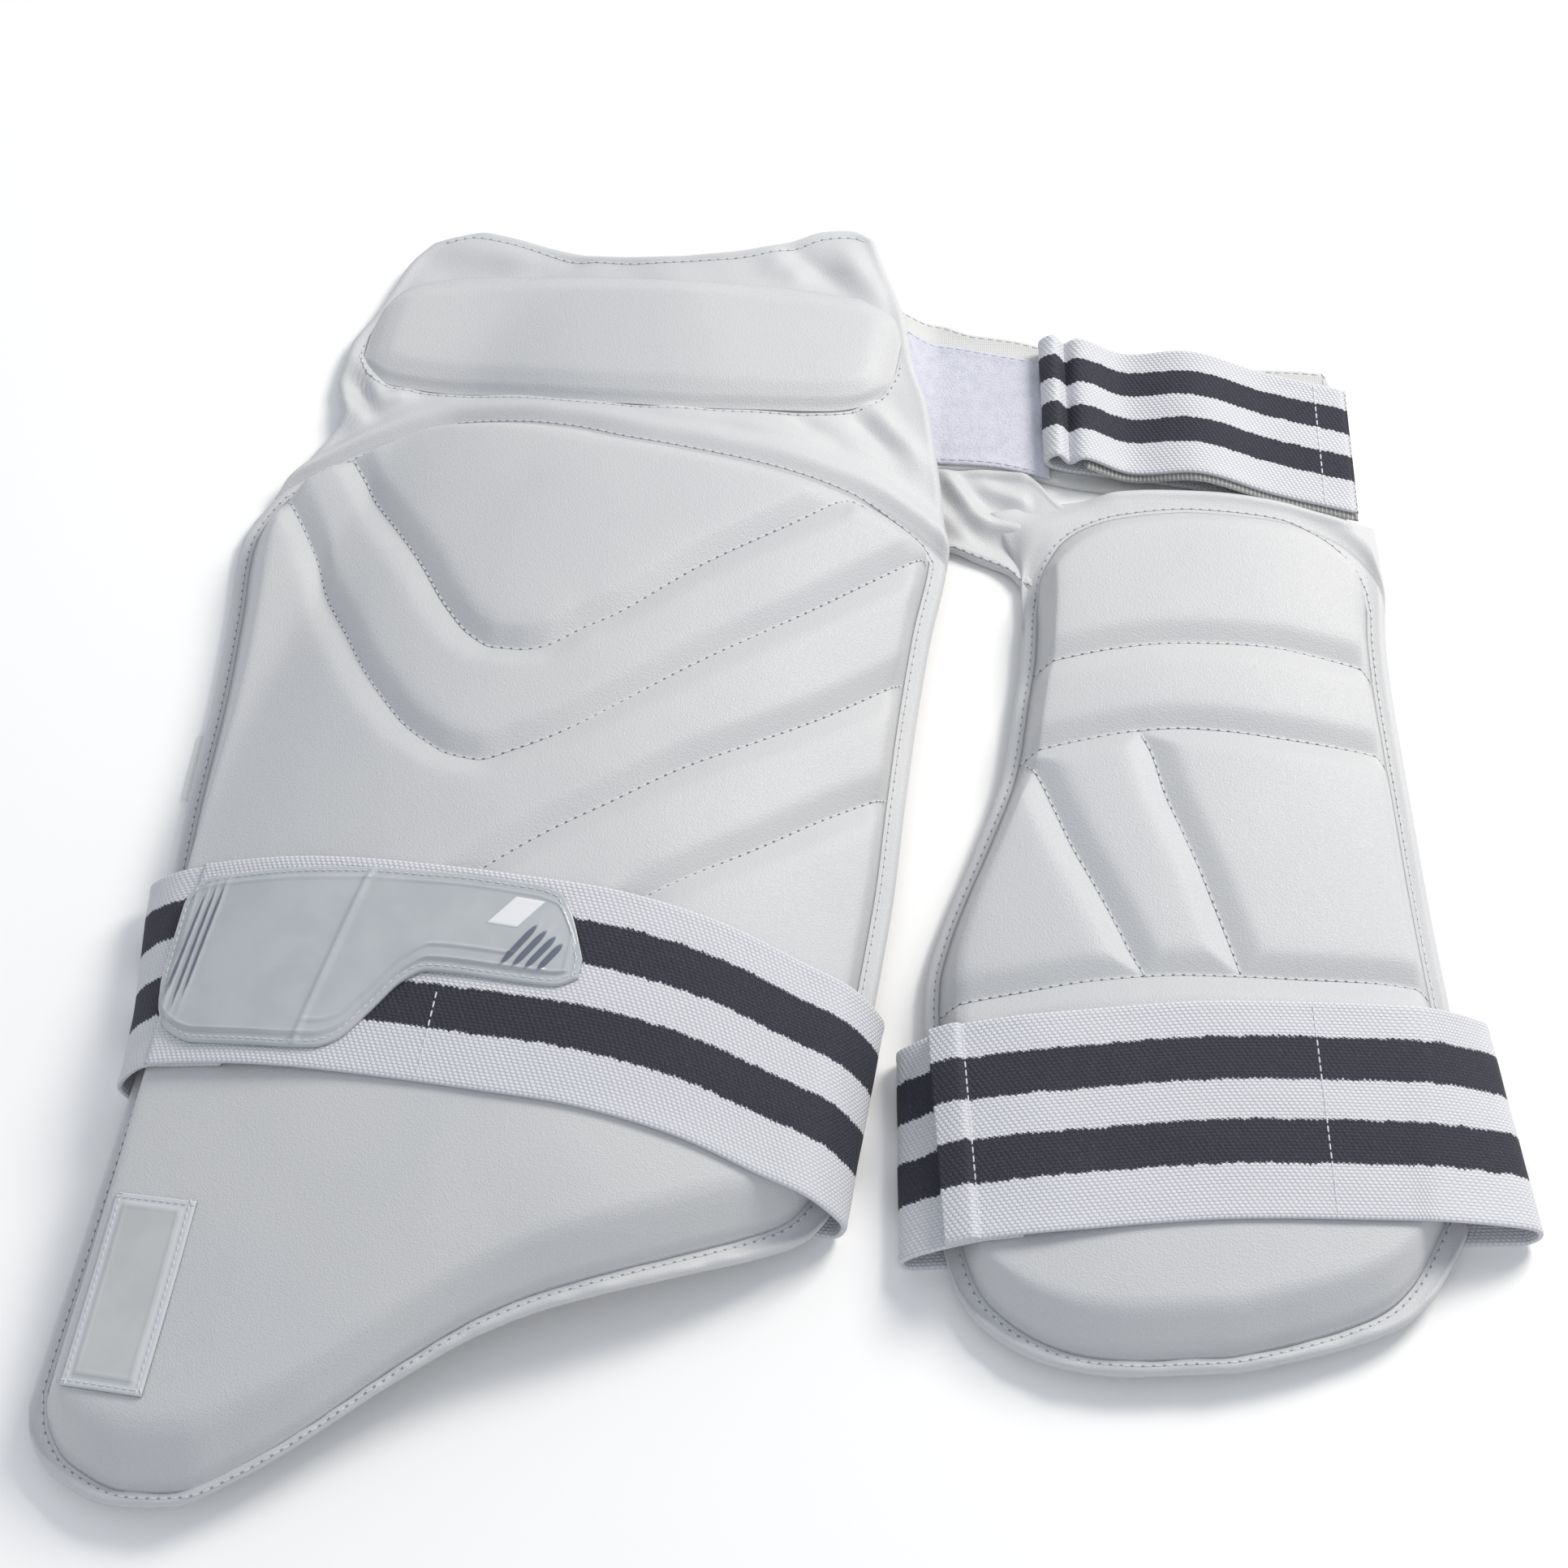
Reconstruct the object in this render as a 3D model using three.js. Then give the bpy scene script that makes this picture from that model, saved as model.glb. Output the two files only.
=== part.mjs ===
// Cricket thigh guard, a combo set: a long outer thigh guard and a shorter inner thigh guard,
// joined by a waist belt, lying face up. Units are millimetres and +Z is up.
// Each guard has its own frame: u runs across it, v along it, and both start at its thigh strap.

import * as THREE from "three";

// Webbing and cloth
const thighWebbing = 75;
const waistWebbing = 56;
const webbingThick = 1.8;
const carrierThick = 3;
const beltThick = 2.4;
const bridgeThick = 1.8;
const patchThick = 1.2;
const pieceGap = 0.4;

// Outer guard
const outerLength = 532;
const outerWidth = 260;
const outerCrown = 31;
const outerFoam = 14.5;
const outerTurn = -10.5;
const outerPlace = [-92, -101];

// Inner guard
const innerLength = 342;
const innerWidth = 180;
const innerCrown = 10;
const innerFoam = 13.5;
const innerTurn = 2.2;
const innerPlace = [136, -138];

// Moulded faces
const seamFoam = 3.2;
const grooveHalf = 8;
const edgeBevel = 8;
const lipSide = 5.5;
const lipFar = 7;
const lipFoot = 4.5;
const hipFoam = 11;

// Waist belt and its strap
const beltLength = 170;
const beltWidth = 70;
const loopPatchLength = 40;
const waistStrapLength = 118;
const waistHump = 7;

// Badges and label
const strapBadgeLength = 129;
const strapBadgeWidth = 67;
const badgeThick = 2.2;
const legBadgeLength = 62;
const legBadgeWidth = 24;
const labelLength = 26;
const labelOut = 3;

// How sharply an arch flattens out at its foot, as a share of its crown
const footSoftness = 0.2;
const archPower = 2.3;

// What lies under the edge of a guard lifts it by this much
const strapSeat = webbingThick + pieceGap + carrierThick / 2;

// A table has named columns and is read on a smooth curve through its rows.
function table(names, rows) {
  return { names: names.split(" "), rows };
}

function read(tab, name, x) {
  const column = tab.names.indexOf(name);
  const rows = tab.rows;
  const last = rows.length - 1;
  if (x <= rows[0][0]) return rows[0][column];
  if (x >= rows[last][0]) return rows[last][column];
  let i = 0;
  while (x > rows[i + 1][0]) i++;
  const step = (j) => rows[j + 1][0] - rows[j][0];
  const rise = (j) => (rows[j + 1][column] - rows[j][column]) / step(j);
  const slope = (j) => {
    if (j === 0) return rise(0);
    if (j === last) return rise(last - 1);
    const [before, after] = [rise(j - 1), rise(j)];
    return before * after <= 0 ? 0 : (2 * before * after) / (before + after);
  };
  const h = step(i);
  const t = (x - rows[i][0]) / h;
  const [a, b] = [rows[i][column], rows[i + 1][column]];
  return (
    a * (2 * t ** 3 - 3 * t ** 2 + 1) +
    b * (3 * t ** 2 - 2 * t ** 3) +
    slope(i) * h * (t ** 3 - 2 * t ** 2 + t) +
    slope(i + 1) * h * (t ** 3 - t ** 2)
  );
}

// Outer guard: lengths are shares of its length, widths of its width, crowns of its crown,
// and lifts of the seat that a strap needs under the edge.
const outerArch = table("along left right crown lift", [
  [-0.357, -0.454, 0.5, 0.323, 0.55],
  [-0.226, -0.481, 0.492, 0.548, 0.65],
  [-0.075, -0.462, 0.477, 0.871, 1],
  [0.066, -0.442, 0.465, 1, 1],
  [0.226, -0.404, 0.454, 1, 0.7],
  [0.376, -0.354, 0.469, 0.903, 0.9],
  [0.489, -0.277, 0.492, 0.645, 1.2],
  [0.62, -0.192, 0.5, 0.387, 1.2],
]);
const outerSides = table("along left right", [
  [-0.34, -0.454, 0.456],
  [-0.286, -0.46, 0.456],
  [-0.182, -0.456, 0.456],
  [-0.068, -0.454, 0.456],
  [0.064, -0.49, 0.456],
  [0.124, -0.504, 0.455],
  [0.207, -0.516, 0.446],
  [0.274, -0.531, 0.44],
  [0.333, -0.546, 0.438],
  [0.385, -0.51, 0.442],
  [0.417, -0.483, 0.431],
  [0.451, -0.46, 0.413],
  [0.481, -0.482, 0.393],
  [0.513, -0.48, 0.373],
  [0.545, -0.457, 0.344],
  [0.594, -0.43, 0.312],
  [0.63, -0.375, 0.275],
  [0.662, -0.32, 0.242],
]);
const outerFoot = table("across along", [
  [0, -0.286],
  [0.017, -0.308],
  [0.059, -0.327],
  [0.143, -0.338],
  [0.227, -0.333],
  [0.298, -0.314],
  [0.357, -0.293],
  [0.483, -0.239],
  [0.567, -0.207],
  [0.64, -0.186],
  [0.733, -0.165],
  [0.82, -0.146],
  [0.92, -0.122],
  [0.965, -0.107],
  [0.989, -0.09],
  [1, -0.076],
]);
const outerTop = table("across along", [
  [0, 0.612],
  [0.03, 0.622],
  [0.07, 0.63],
  [0.15, 0.628],
  [0.27, 0.621],
  [0.44, 0.618],
  [0.6, 0.626],
  [0.78, 0.645],
  [0.87, 0.658],
  [0.95, 0.663],
  [1, 0.657],
]);
const outerFaceTop = table("across along", [
  [0, 0.374],
  [0.03, 0.4],
  [0.08, 0.426],
  [0.14, 0.441],
  [0.2, 0.448],
  [0.3, 0.446],
  [0.4, 0.441],
  [0.5, 0.434],
  [0.6, 0.431],
  [0.76, 0.427],
  [0.87, 0.421],
  [0.94, 0.411],
  [0.985, 0.401],
  [1, 0.392],
]);

// Seams of the outer face, across and along, as the same shares
const outerSeams = {
  chevronLow: table("across along", [
    [0.1, 0.05],
    [0.142, 0.08],
    [0.19, 0.103],
    [0.254, 0.131],
    [0.338, 0.173],
    [0.427, 0.216],
  ]),
  chevronHigh: table("across along", [
    [-0.11, 0.05],
    [-0.053, 0.084],
    [0.006, 0.113],
    [0.077, 0.143],
    [0.151, 0.177],
    [0.235, 0.211],
    [0.308, 0.244],
    [0.419, 0.305],
  ]),
  bandLow: table("across along", [
    [-0.492, 0.374],
    [-0.454, 0.35],
    [-0.385, 0.302],
    [-0.321, 0.258],
    [-0.277, 0.225],
    [-0.238, 0.201],
    [-0.202, 0.182],
    [-0.171, 0.171],
    [-0.135, 0.162],
    [-0.1, 0.16],
    [-0.052, 0.172],
    [0, 0.19],
    [0.137, 0.255],
    [0.254, 0.312],
    [0.325, 0.351],
    [0.397, 0.392],
  ]),
  bandHigh: table("across along", [
    [-0.438, 0.425],
    [-0.391, 0.398],
    [-0.312, 0.355],
    [-0.243, 0.312],
    [-0.193, 0.277],
    [-0.149, 0.254],
    [-0.116, 0.246],
    [-0.086, 0.246],
    [-0.055, 0.25],
    [-0.008, 0.269],
    [0.026, 0.282],
    [0.122, 0.333],
    [0.229, 0.385],
    [0.29, 0.418],
  ]),
};

// Inner guard, with the same kinds of share
const innerArch = table("along left right crown lift", [
  [-0.263, -0.511, 0.5, 0.6, 0.7],
  [0, -0.5, 0.5, 0.9, 1],
  [0.117, -0.489, 0.478, 1, 1],
  [0.322, -0.4, 0.456, 1, 0.8],
  [0.468, -0.322, 0.433, 0.9, 0.8],
  [0.673, -0.267, 0.422, 0.6, 1.15],
  [0.789, -0.278, 0.422, 0.4, 1.2],
]);
const innerSides = table("along left right", [
  [-0.24, -0.478, 0.467],
  [-0.111, -0.478, 0.467],
  [0.131, -0.487, 0.5],
  [0.17, -0.481, 0.497],
  [0.216, -0.456, 0.494],
  [0.269, -0.414, 0.492],
  [0.322, -0.367, 0.491],
  [0.406, -0.302, 0.489],
  [0.491, -0.267, 0.487],
  [0.553, -0.244, 0.49],
  [0.629, -0.232, 0.503],
  [0.667, -0.236, 0.503],
  [0.708, -0.26, 0.501],
  [0.76, -0.294, 0.5],
]);
const innerFoot = table("across along", [
  [0, -0.105],
  [0.025, -0.155],
  [0.06, -0.183],
  [0.157, -0.219],
  [0.247, -0.234],
  [0.35, -0.24],
  [0.506, -0.24],
  [0.635, -0.231],
  [0.776, -0.214],
  [0.85, -0.199],
  [0.91, -0.175],
  [0.967, -0.135],
  [1, -0.108],
]);
const innerTop = table("across along", [
  [0, 0.744],
  [0.15, 0.75],
  [0.4, 0.75],
  [0.6, 0.744],
  [0.75, 0.733],
  [0.87, 0.716],
  [1, 0.702],
]);
const innerFaceTop = table("across along", [
  [0, 0.6],
  [0.015, 0.637],
  [0.04, 0.658],
  [0.1, 0.684],
  [0.19, 0.702],
  [0.3, 0.713],
  [0.48, 0.718],
  [0.635, 0.713],
  [0.765, 0.705],
  [0.87, 0.686],
  [0.94, 0.661],
  [0.985, 0.626],
  [1, 0.593],
]);
const innerSeams = {
  knee: table("across along", [
    [-0.45, 0.144],
    [-0.306, 0.151],
    [-0.172, 0.158],
    [-0.04, 0.16],
    [0.094, 0.156],
    [0.22, 0.152],
    [0.333, 0.15],
    [0.46, 0.142],
  ]),
  waist: table("across along", [
    [-0.27, 0.422],
    [-0.144, 0.432],
    [-0.056, 0.438],
    [0.026, 0.44],
    [0.139, 0.434],
    [0.217, 0.427],
    [0.306, 0.42],
    [0.461, 0.407],
  ]),
  chest: table("across along", [
    [-0.23, 0.53],
    [-0.156, 0.535],
    [-0.067, 0.541],
    [0.033, 0.544],
    [0.139, 0.542],
    [0.228, 0.538],
    [0.311, 0.529],
    [0.461, 0.511],
  ]),
};
// Ribs that run down the inner face between its waist and knee seams
const innerRibs = [
  table("along across", [
    [0.16, -0.078],
    [0.182, -0.097],
    [0.215, -0.118],
    [0.261, -0.149],
    [0.308, -0.182],
    [0.353, -0.207],
    [0.398, -0.233],
    [0.422, -0.258],
  ]),
  table("along across", [
    [0.16, 0.094],
    [0.194, 0.08],
    [0.231, 0.064],
    [0.278, 0.043],
    [0.319, 0.021],
    [0.363, -0.003],
    [0.409, -0.018],
    [0.438, -0.037],
  ]),
];

// A guard's frame: the mid surface of its carrier and the outline of its carrier and face
function guard(g) {
  const archAt = (v, name) => read(g.arch, name, v / g.length);
  g.height = (u, v) => {
    const left = archAt(v, "left") * g.width;
    const right = archAt(v, "right") * g.width;
    const crown = archAt(v, "crown") * g.crown;
    const across = Math.abs((2 * u - left - right) / (right - left));
    const rise = crown * (1 - across ** archPower);
    const soft = footSoftness * g.crown;
    return archAt(v, "lift") * strapSeat + (rise + Math.hypot(rise, soft)) / 2;
  };
  // A point off the mid surface, along its normal
  g.point = (u, v, off) => {
    const e = 0.5;
    const normal = new THREE.Vector3(
      (g.height(u - e, v) - g.height(u + e, v)) / (2 * e),
      (g.height(u, v - e) - g.height(u, v + e)) / (2 * e),
      1,
    ).normalize();
    return new THREE.Vector3(u, v, g.height(u, v)).addScaledVector(normal, off);
  };
  // Height of the carrier's underside over a place on the surface, in the whole set's frame
  g.underside = (x, y) => {
    const turn = THREE.MathUtils.degToRad(-g.turn);
    const [dx, dy] = [x - g.place[0], y - g.place[1]];
    const u = dx * Math.cos(turn) - dy * Math.sin(turn);
    const v = dx * Math.sin(turn) + dy * Math.cos(turn);
    return g.point(u, v, 0).z - 0.6 * carrierThick;
  };
  g.side = (v, name, inset) => read(g.sides, name, v / g.length) * g.width + inset;
  g.spot = (s, v, left, right) => {
    const from = g.side(v, "left", left);
    return from + (g.side(v, "right", -right) - from) * s;
  };
  return g;
}

const outer = guard({
  place: outerPlace,
  turn: outerTurn,
  length: outerLength,
  width: outerWidth,
  crown: outerCrown,
  foam: outerFoam,
  arch: outerArch,
  sides: outerSides,
  foot: outerFoot,
  top: outerTop,
  faceTop: outerFaceTop,
  seams: Object.values(outerSeams),
  ribs: [],
});
const inner = guard({
  place: innerPlace,
  turn: innerTurn,
  length: innerLength,
  width: innerWidth,
  crown: innerCrown,
  foam: innerFoam,
  arch: innerArch,
  sides: innerSides,
  foot: innerFoot,
  top: innerTop,
  faceTop: innerFaceTop,
  seams: Object.values(innerSeams),
  ribs: innerRibs,
});

// A closed solid between two grids of points, columns by rows, the upper one first
function slab(upper, lower) {
  const columns = upper.length;
  const rows = upper[0].length;
  const points = [];
  for (const grid of [upper, lower])
    for (const column of grid)
      for (const p of column) points.push(p.x, p.y, p.z);
  const at = (side, i, j) => (side * columns + i) * rows + j;
  const index = [];
  const quad = (a, b, c, d) => index.push(a, b, c, a, c, d);
  for (let i = 0; i < columns - 1; i++)
    for (let j = 0; j < rows - 1; j++) {
      quad(at(0, i, j), at(0, i + 1, j), at(0, i + 1, j + 1), at(0, i, j + 1));
      quad(at(1, i, j), at(1, i, j + 1), at(1, i + 1, j + 1), at(1, i + 1, j));
    }
  for (let i = 0; i < columns - 1; i++) {
    quad(at(1, i, 0), at(1, i + 1, 0), at(0, i + 1, 0), at(0, i, 0));
    const j = rows - 1;
    quad(at(0, i, j), at(0, i + 1, j), at(1, i + 1, j), at(1, i, j));
  }
  for (let j = 0; j < rows - 1; j++) {
    quad(at(0, 0, j), at(0, 0, j + 1), at(1, 0, j + 1), at(1, 0, j));
    const i = columns - 1;
    quad(at(1, i, j), at(1, i, j + 1), at(0, i, j + 1), at(0, i, j));
  }
  const geometry = new THREE.BufferGeometry();
  geometry.setAttribute("position", new THREE.Float32BufferAttribute(points, 3));
  geometry.setIndex(index);
  return geometry;
}

// Shares from 0 to 1 in even steps, eased so that they lie closer at both ends
function shares(count, ease = 0) {
  return Array.from({ length: count + 1 }, (_, i) => {
    const t = i / count;
    return t - (ease * Math.sin(2 * Math.PI * t)) / (2 * Math.PI);
  });
}

// Carrier: the backing panel that shows as a lip round the moulded face
function carrier(g, columns, rows) {
  const grid = (off) =>
    shares(columns, 0.5).map((s) =>
      shares(rows, 0.3).map((t) => {
        const low = read(g.foot, "along", s) * g.length;
        const high = read(g.top, "along", s) * g.length;
        const v = low + (high - low) * t;
        return g.point(g.spot(s, v, 0, 0), v, off);
      }),
    );
  return slab(grid(carrierThick / 2), grid(-carrierThick / 2));
}

// Thickness of the moulded face: full foam, falling to each seam and to the face's edge
function faceThick(g, { u, v, low, high }) {
  const near = (distance, half) =>
    seamFoam + (g.foam - seamFoam) * Math.min(1, distance / half);
  const sides = [
    u - g.side(v, "left", lipSide),
    g.side(v, "right", -lipFar) - u,
    v - low,
    high - v,
  ];
  let thick = near(Math.max(0, Math.min(...sides)), edgeBevel);
  const e = 1;
  for (const seam of g.seams) {
    const [from, to] = [seam.rows[0][0], seam.rows.at(-1)[0]];
    const line = (x) => read(seam, "along", x / g.width) * g.length;
    const slope = (line(u + e) - line(u - e)) / (2 * e);
    const past = Math.max(0, from * g.width - u, u - to * g.width - lipFar);
    const distance = Math.hypot(Math.abs(v - line(u)) / Math.hypot(1, slope), past);
    thick = Math.min(thick, near(distance, grooveHalf));
  }
  for (const rib of g.ribs) {
    const [from, to] = [rib.rows[0][0], rib.rows.at(-1)[0]];
    const line = (y) => read(rib, "across", y / g.length) * g.width;
    const slope = (line(v + e) - line(v - e)) / (2 * e);
    const past = Math.max(0, from * g.length - v, v - to * g.length);
    const distance = Math.hypot(Math.abs(u - line(v)) / Math.hypot(1, slope), past);
    thick = Math.min(thick, near(distance, grooveHalf));
  }
  return thick;
}

// Rows of the face along one column: its foot, bevels, each seam with both shoulders, its top
function faceRows(g, shareAt, plain) {
  const settle = (place) => {
    let v = 0;
    for (let turn = 0; turn < 6; turn++) v = place(shareAt(v), v);
    return v;
  };
  const low = settle((s) => read(g.foot, "along", s) * g.length + lipFoot);
  const high = settle((s) => read(g.faceTop, "along", s) * g.length);
  const rows = [low];
  let from = low + edgeBevel;
  const fill = (to, steps) => shares(steps).map((t) => from + (to - from) * t);
  g.seams.forEach((seam, k) => {
    const across = (s, v) => g.spot(s, v, lipSide, lipFar) / g.width;
    const v = settle((s, was) => read(seam, "along", across(s, was)) * g.length);
    const shoulder = 1.2 * grooveHalf;
    rows.push(...fill(v - shoulder, plain[k]).slice(0, -1), v - shoulder, v, v + shoulder);
    from = v + shoulder;
  });
  rows.push(...fill(high - edgeBevel, plain.at(-1)).slice(1), high);
  const least = 1.2;
  for (let j = 1; j < rows.length; j++) rows[j] = Math.max(rows[j], rows[j - 1] + least);
  rows[rows.length - 1] = high;
  for (let j = rows.length - 2; j >= 0; j--) rows[j] = Math.min(rows[j], rows[j + 1] - least);
  return rows;
}

// Columns of the face at one height: edge bevels, each rib with both shoulders, even steps between
function faceColumns(g, v, steps) {
  const from = g.spot(0, v, lipSide, lipFar);
  const across = g.spot(1, v, lipSide, lipFar) - from;
  const edge = edgeBevel / across;
  const columns = [0, edge];
  let start = edge;
  g.ribs.forEach((rib, k) => {
    const centre = (read(rib, "across", v / g.length) * g.width - from) / across;
    const first = centre - grooveHalf / across;
    columns.push(...shares(steps[k]).slice(1).map((t) => start + (first - start) * t));
    start = centre + grooveHalf / across;
    columns.push(centre, start);
  });
  const last = 1 - edge;
  columns.push(...shares(steps.at(-1)).slice(1).map((t) => start + (last - start) * t), 1);
  const least = 0.01;
  for (let i = 1; i < columns.length; i++) {
    columns[i] = Math.max(columns[i], columns[i - 1] + least);
  }
  return columns;
}

function face(g, steps, plain) {
  const base = carrierThick / 2 + pieceGap;
  const count = faceColumns(g, 0, steps).length;
  const columns = Array.from({ length: count }, (_, i) => {
    const shareAt = (v) => faceColumns(g, v, steps)[i];
    const rows = faceRows(g, shareAt, plain);
    return rows.map((v) => ({
      v,
      s: shareAt(v),
      u: g.spot(shareAt(v), v, lipSide, lipFar),
      low: rows[0],
      high: rows.at(-1),
    }));
  });
  const grid = (thickOf) =>
    columns.map((column) => column.map((p) => g.point(p.u, p.v, base + thickOf(p))));
  return slab(
    grid((p) => faceThick(g, p)),
    grid(() => 0),
  );
}

// Hip pad: a capsule of foam above the outer face, from a table of its lower and upper edge
const hipOutline = table("across low high", [
  [-0.456, 0.503, 0.522],
  [-0.44, 0.49, 0.556],
  [-0.41, 0.482, 0.573],
  [-0.36, 0.48, 0.582],
  [-0.28, 0.479, 0.59],
  [-0.19, 0.474, 0.594],
  [-0.08, 0.469, 0.594],
  [0.03, 0.471, 0.595],
  [0.14, 0.479, 0.598],
  [0.24, 0.49, 0.599],
  [0.285, 0.502, 0.593],
  [0.308, 0.517, 0.581],
  [0.318, 0.536, 0.562],
]);

function hipPad() {
  const g = outer;
  const base = carrierThick / 2 + pieceGap;
  const [from, to] = [hipOutline.rows[0][0], hipOutline.rows.at(-1)[0]];
  const across = shares(20, 0.6).map((t) => (from + (to - from) * t) * g.width);
  const grid = (thickOf) =>
    across.map((u) => {
      const low = read(hipOutline, "low", u / g.width) * g.length;
      const high = read(hipOutline, "high", u / g.width) * g.length;
      return [0, 0.12, 0.3, 0.5, 0.7, 0.88, 1].map((t) => {
        const v = low + (high - low) * t;
        return g.point(u, v, base + thickOf(u, v, low, high));
      });
    });
  const thick = (u, v, low, high) => {
    const near = Math.min(u - from * g.width, to * g.width - u, v - low, high - v);
    return seamFoam + (hipFoam - seamFoam) * Math.min(1, Math.max(0, near) / edgeBevel);
  };
  return slab(grid(thick), grid(() => 0));
}

// A band of webbing: stations along its path, each with points across its width
function band(path, thick) {
  const side = (sign) =>
    path.map((line, k) => {
      const before = path[Math.max(0, k - 1)];
      const after = path[Math.min(path.length - 1, k + 1)];
      return line.map((p, j) => {
        const along = after[j].clone().sub(before[j]);
        const across = line[Math.min(line.length - 1, j + 1)].clone();
        across.sub(line[Math.max(0, j - 1)]);
        const normal = along.cross(across).normalize();
        return p.clone().addScaledVector(normal, (sign * thick) / 2);
      });
    });
  return slab(side(1), side(-1));
}

// Smooth path through a few chosen points, with each stretch between them cut in two
function smooth(points) {
  const line = new THREE.CatmullRomCurve3(points, false, "centripetal");
  return shares(2 * (points.length - 1)).map((t) => line.getPoint(t));
}

// A thigh strap: its free end lies on the face's left, it crosses the face, rounds the right
// edge, runs flat under the guard, rounds the left edge and ends under its own free end.
function thighStrap(g, run) {
  const lanes = 5;
  const ride = carrierThick / 2 + pieceGap + g.foam + pieceGap + webbingThick / 2;
  const layer = webbingThick + pieceGap;
  const floor = webbingThick / 2;
  const stations = [];
  for (let j = 0; j < lanes; j++) {
    const lane = (j / (lanes - 1) - 0.5) * thighWebbing;
    const centre = (u) => read(run.line, "along", u / g.width) * thighWebbing;
    const at = (u) => centre(u) + lane;
    const top = (u, extra) => g.point(u, at(u), ride + extra);
    const points = run.front.rows.map(([u, extra]) => top(u * g.width, extra * layer));
    const shoulder = (u, side, inset) => top(g.side(at(u), side, inset), 0);
    const nearRight = run.front.rows.at(-1)[0] * g.width;
    points.push(shoulder(nearRight, "right", -lipFar - edgeBevel));
    const [rightU, leftU] = [run.right(lane), run.left(lane)];
    const right = (out, z) => new THREE.Vector3(rightU + out, at(rightU + out), z);
    const left = (out, z) => new THREE.Vector3(leftU - out, at(leftU - out), z);
    points.push(...run.turnRight.map(([out, z]) => right(out, floor + z)));
    points.push(...shares(5).slice(1, -1).map((t) => {
      const u = rightU + (leftU - rightU) * t;
      return new THREE.Vector3(u, at(u), floor);
    }));
    points.push(...run.turnLeft.map(([out, z]) => left(out, floor + z)));
    points.push(shoulder(run.under[0] * g.width, "left", lipSide + edgeBevel));
    points.push(...run.under.map((u) => top(u * g.width, 0)));
    const lineOf = smooth(points);
    for (const p of lineOf) p.z = Math.max(p.z, floor);
    stations.push(lineOf);
  }
  const path = stations[0].map((_, k) => stations.map((lane) => lane[k]));
  return band(path, webbingThick);
}

// Centre line of each strap across the guard, as shares of the webbing's width
const outerRun = {
  line: table("across along", [
    [-0.47, -0.09],
    [-0.23, -0.03],
    [0, -0.01],
    [0.15, 0],
    [0.35, -0.11],
    [0.43, -0.16],
  ]),
  // Stations on the face, and how many layers of webbing lie under each
  front: table("across layers", [
    [-0.395, 1],
    [-0.34, 1],
    [-0.28, 1],
    [-0.21, 0.6],
    [-0.12, 0],
    [0, 0],
    [0.12, 0],
    [0.24, 0],
    [0.34, 0],
  ]),
  under: [-0.36, -0.3],
  turnRight: [
    [3.2, 12],
    [3, 5],
    [0.8, 0.7],
    [-5, 0],
  ],
  turnLeft: [
    [-5, 0],
    [0.8, 0.7],
    [3, 5],
    [3.2, 11],
  ],
  right: (lane) => outer.side(lane, "right", 0),
  left: (lane) => outer.side(lane, "left", 0),
};
const innerRun = {
  line: table("across along", [
    [-0.5, -0.04],
    [-0.3, -0.02],
    [0, 0.01],
    [0.3, -0.01],
    [0.6, -0.03],
  ]),
  front: table("across layers", [
    [-0.415, 1],
    [-0.37, 1],
    [-0.31, 1],
    [-0.22, 0.5],
    [-0.12, 0],
    [0, 0],
    [0.12, 0],
    [0.24, 0],
    [0.34, 0],
  ]),
  under: [-0.37, -0.33],
  turnRight: [
    [-5, 13.5],
    [-1, 10],
    [0, 5],
    [-2.5, 0.8],
    [-7, 0],
  ],
  turnLeft: [
    [-7, 0],
    [-2, 1],
    [0, 5.5],
    [-4, 11],
  ],
  right: (lane) => (0.575 - (0.04 * lane) / thighWebbing) * innerWidth,
  left: (lane) => (-0.545 + (0.02 * lane) / thighWebbing) * innerWidth,
};

// Badge on the outer strap: a plate whose upper and lower edge run as its mould does,
// as shares of the badge's length and width, from the strap's centre line
const badgeOutline = table("across low high", [
  [-0.81, -0.16, 0.22],
  [-0.79, -0.36, 0.34],
  [-0.75, -0.47, 0.39],
  [-0.68, -0.52, 0.41],
  [-0.5, -0.51, 0.45],
  [-0.39, -0.49, 0.47],
  [-0.34, -0.44, 0.48],
  [-0.28, -0.28, 0.485],
  [-0.22, -0.1, 0.49],
  [-0.17, -0.03, 0.495],
  [-0.1, -0.02, 0.5],
  [0.04, -0.015, 0.5],
  [0.1, -0.01, 0.48],
  [0.14, 0, 0.38],
  [0.19, 0.06, 0.16],
]);

function strapBadge() {
  const g = outer;
  const ride = carrierThick / 2 + g.foam + webbingThick + 3 * pieceGap;
  const layer = webbingThick + pieceGap;
  const rows = badgeOutline.rows;
  const [from, to] = [rows[0][0], rows.at(-1)[0]];
  const across = shares(24, 0.3).map((t) => from + (to - from) * t);
  const grid = (off) =>
    across.map((a) => {
      const u = a * strapBadgeLength;
      const extra = read(outerRun.front, "layers", u / g.width) * layer;
      return shares(3).map((t) => {
        const low = read(badgeOutline, "low", a) * strapBadgeWidth;
        const high = read(badgeOutline, "high", a) * strapBadgeWidth;
        return g.point(u, low + (high - low) * t, ride + extra + off);
      });
    });
  return slab(grid(badgeThick), grid(0));
}

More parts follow.
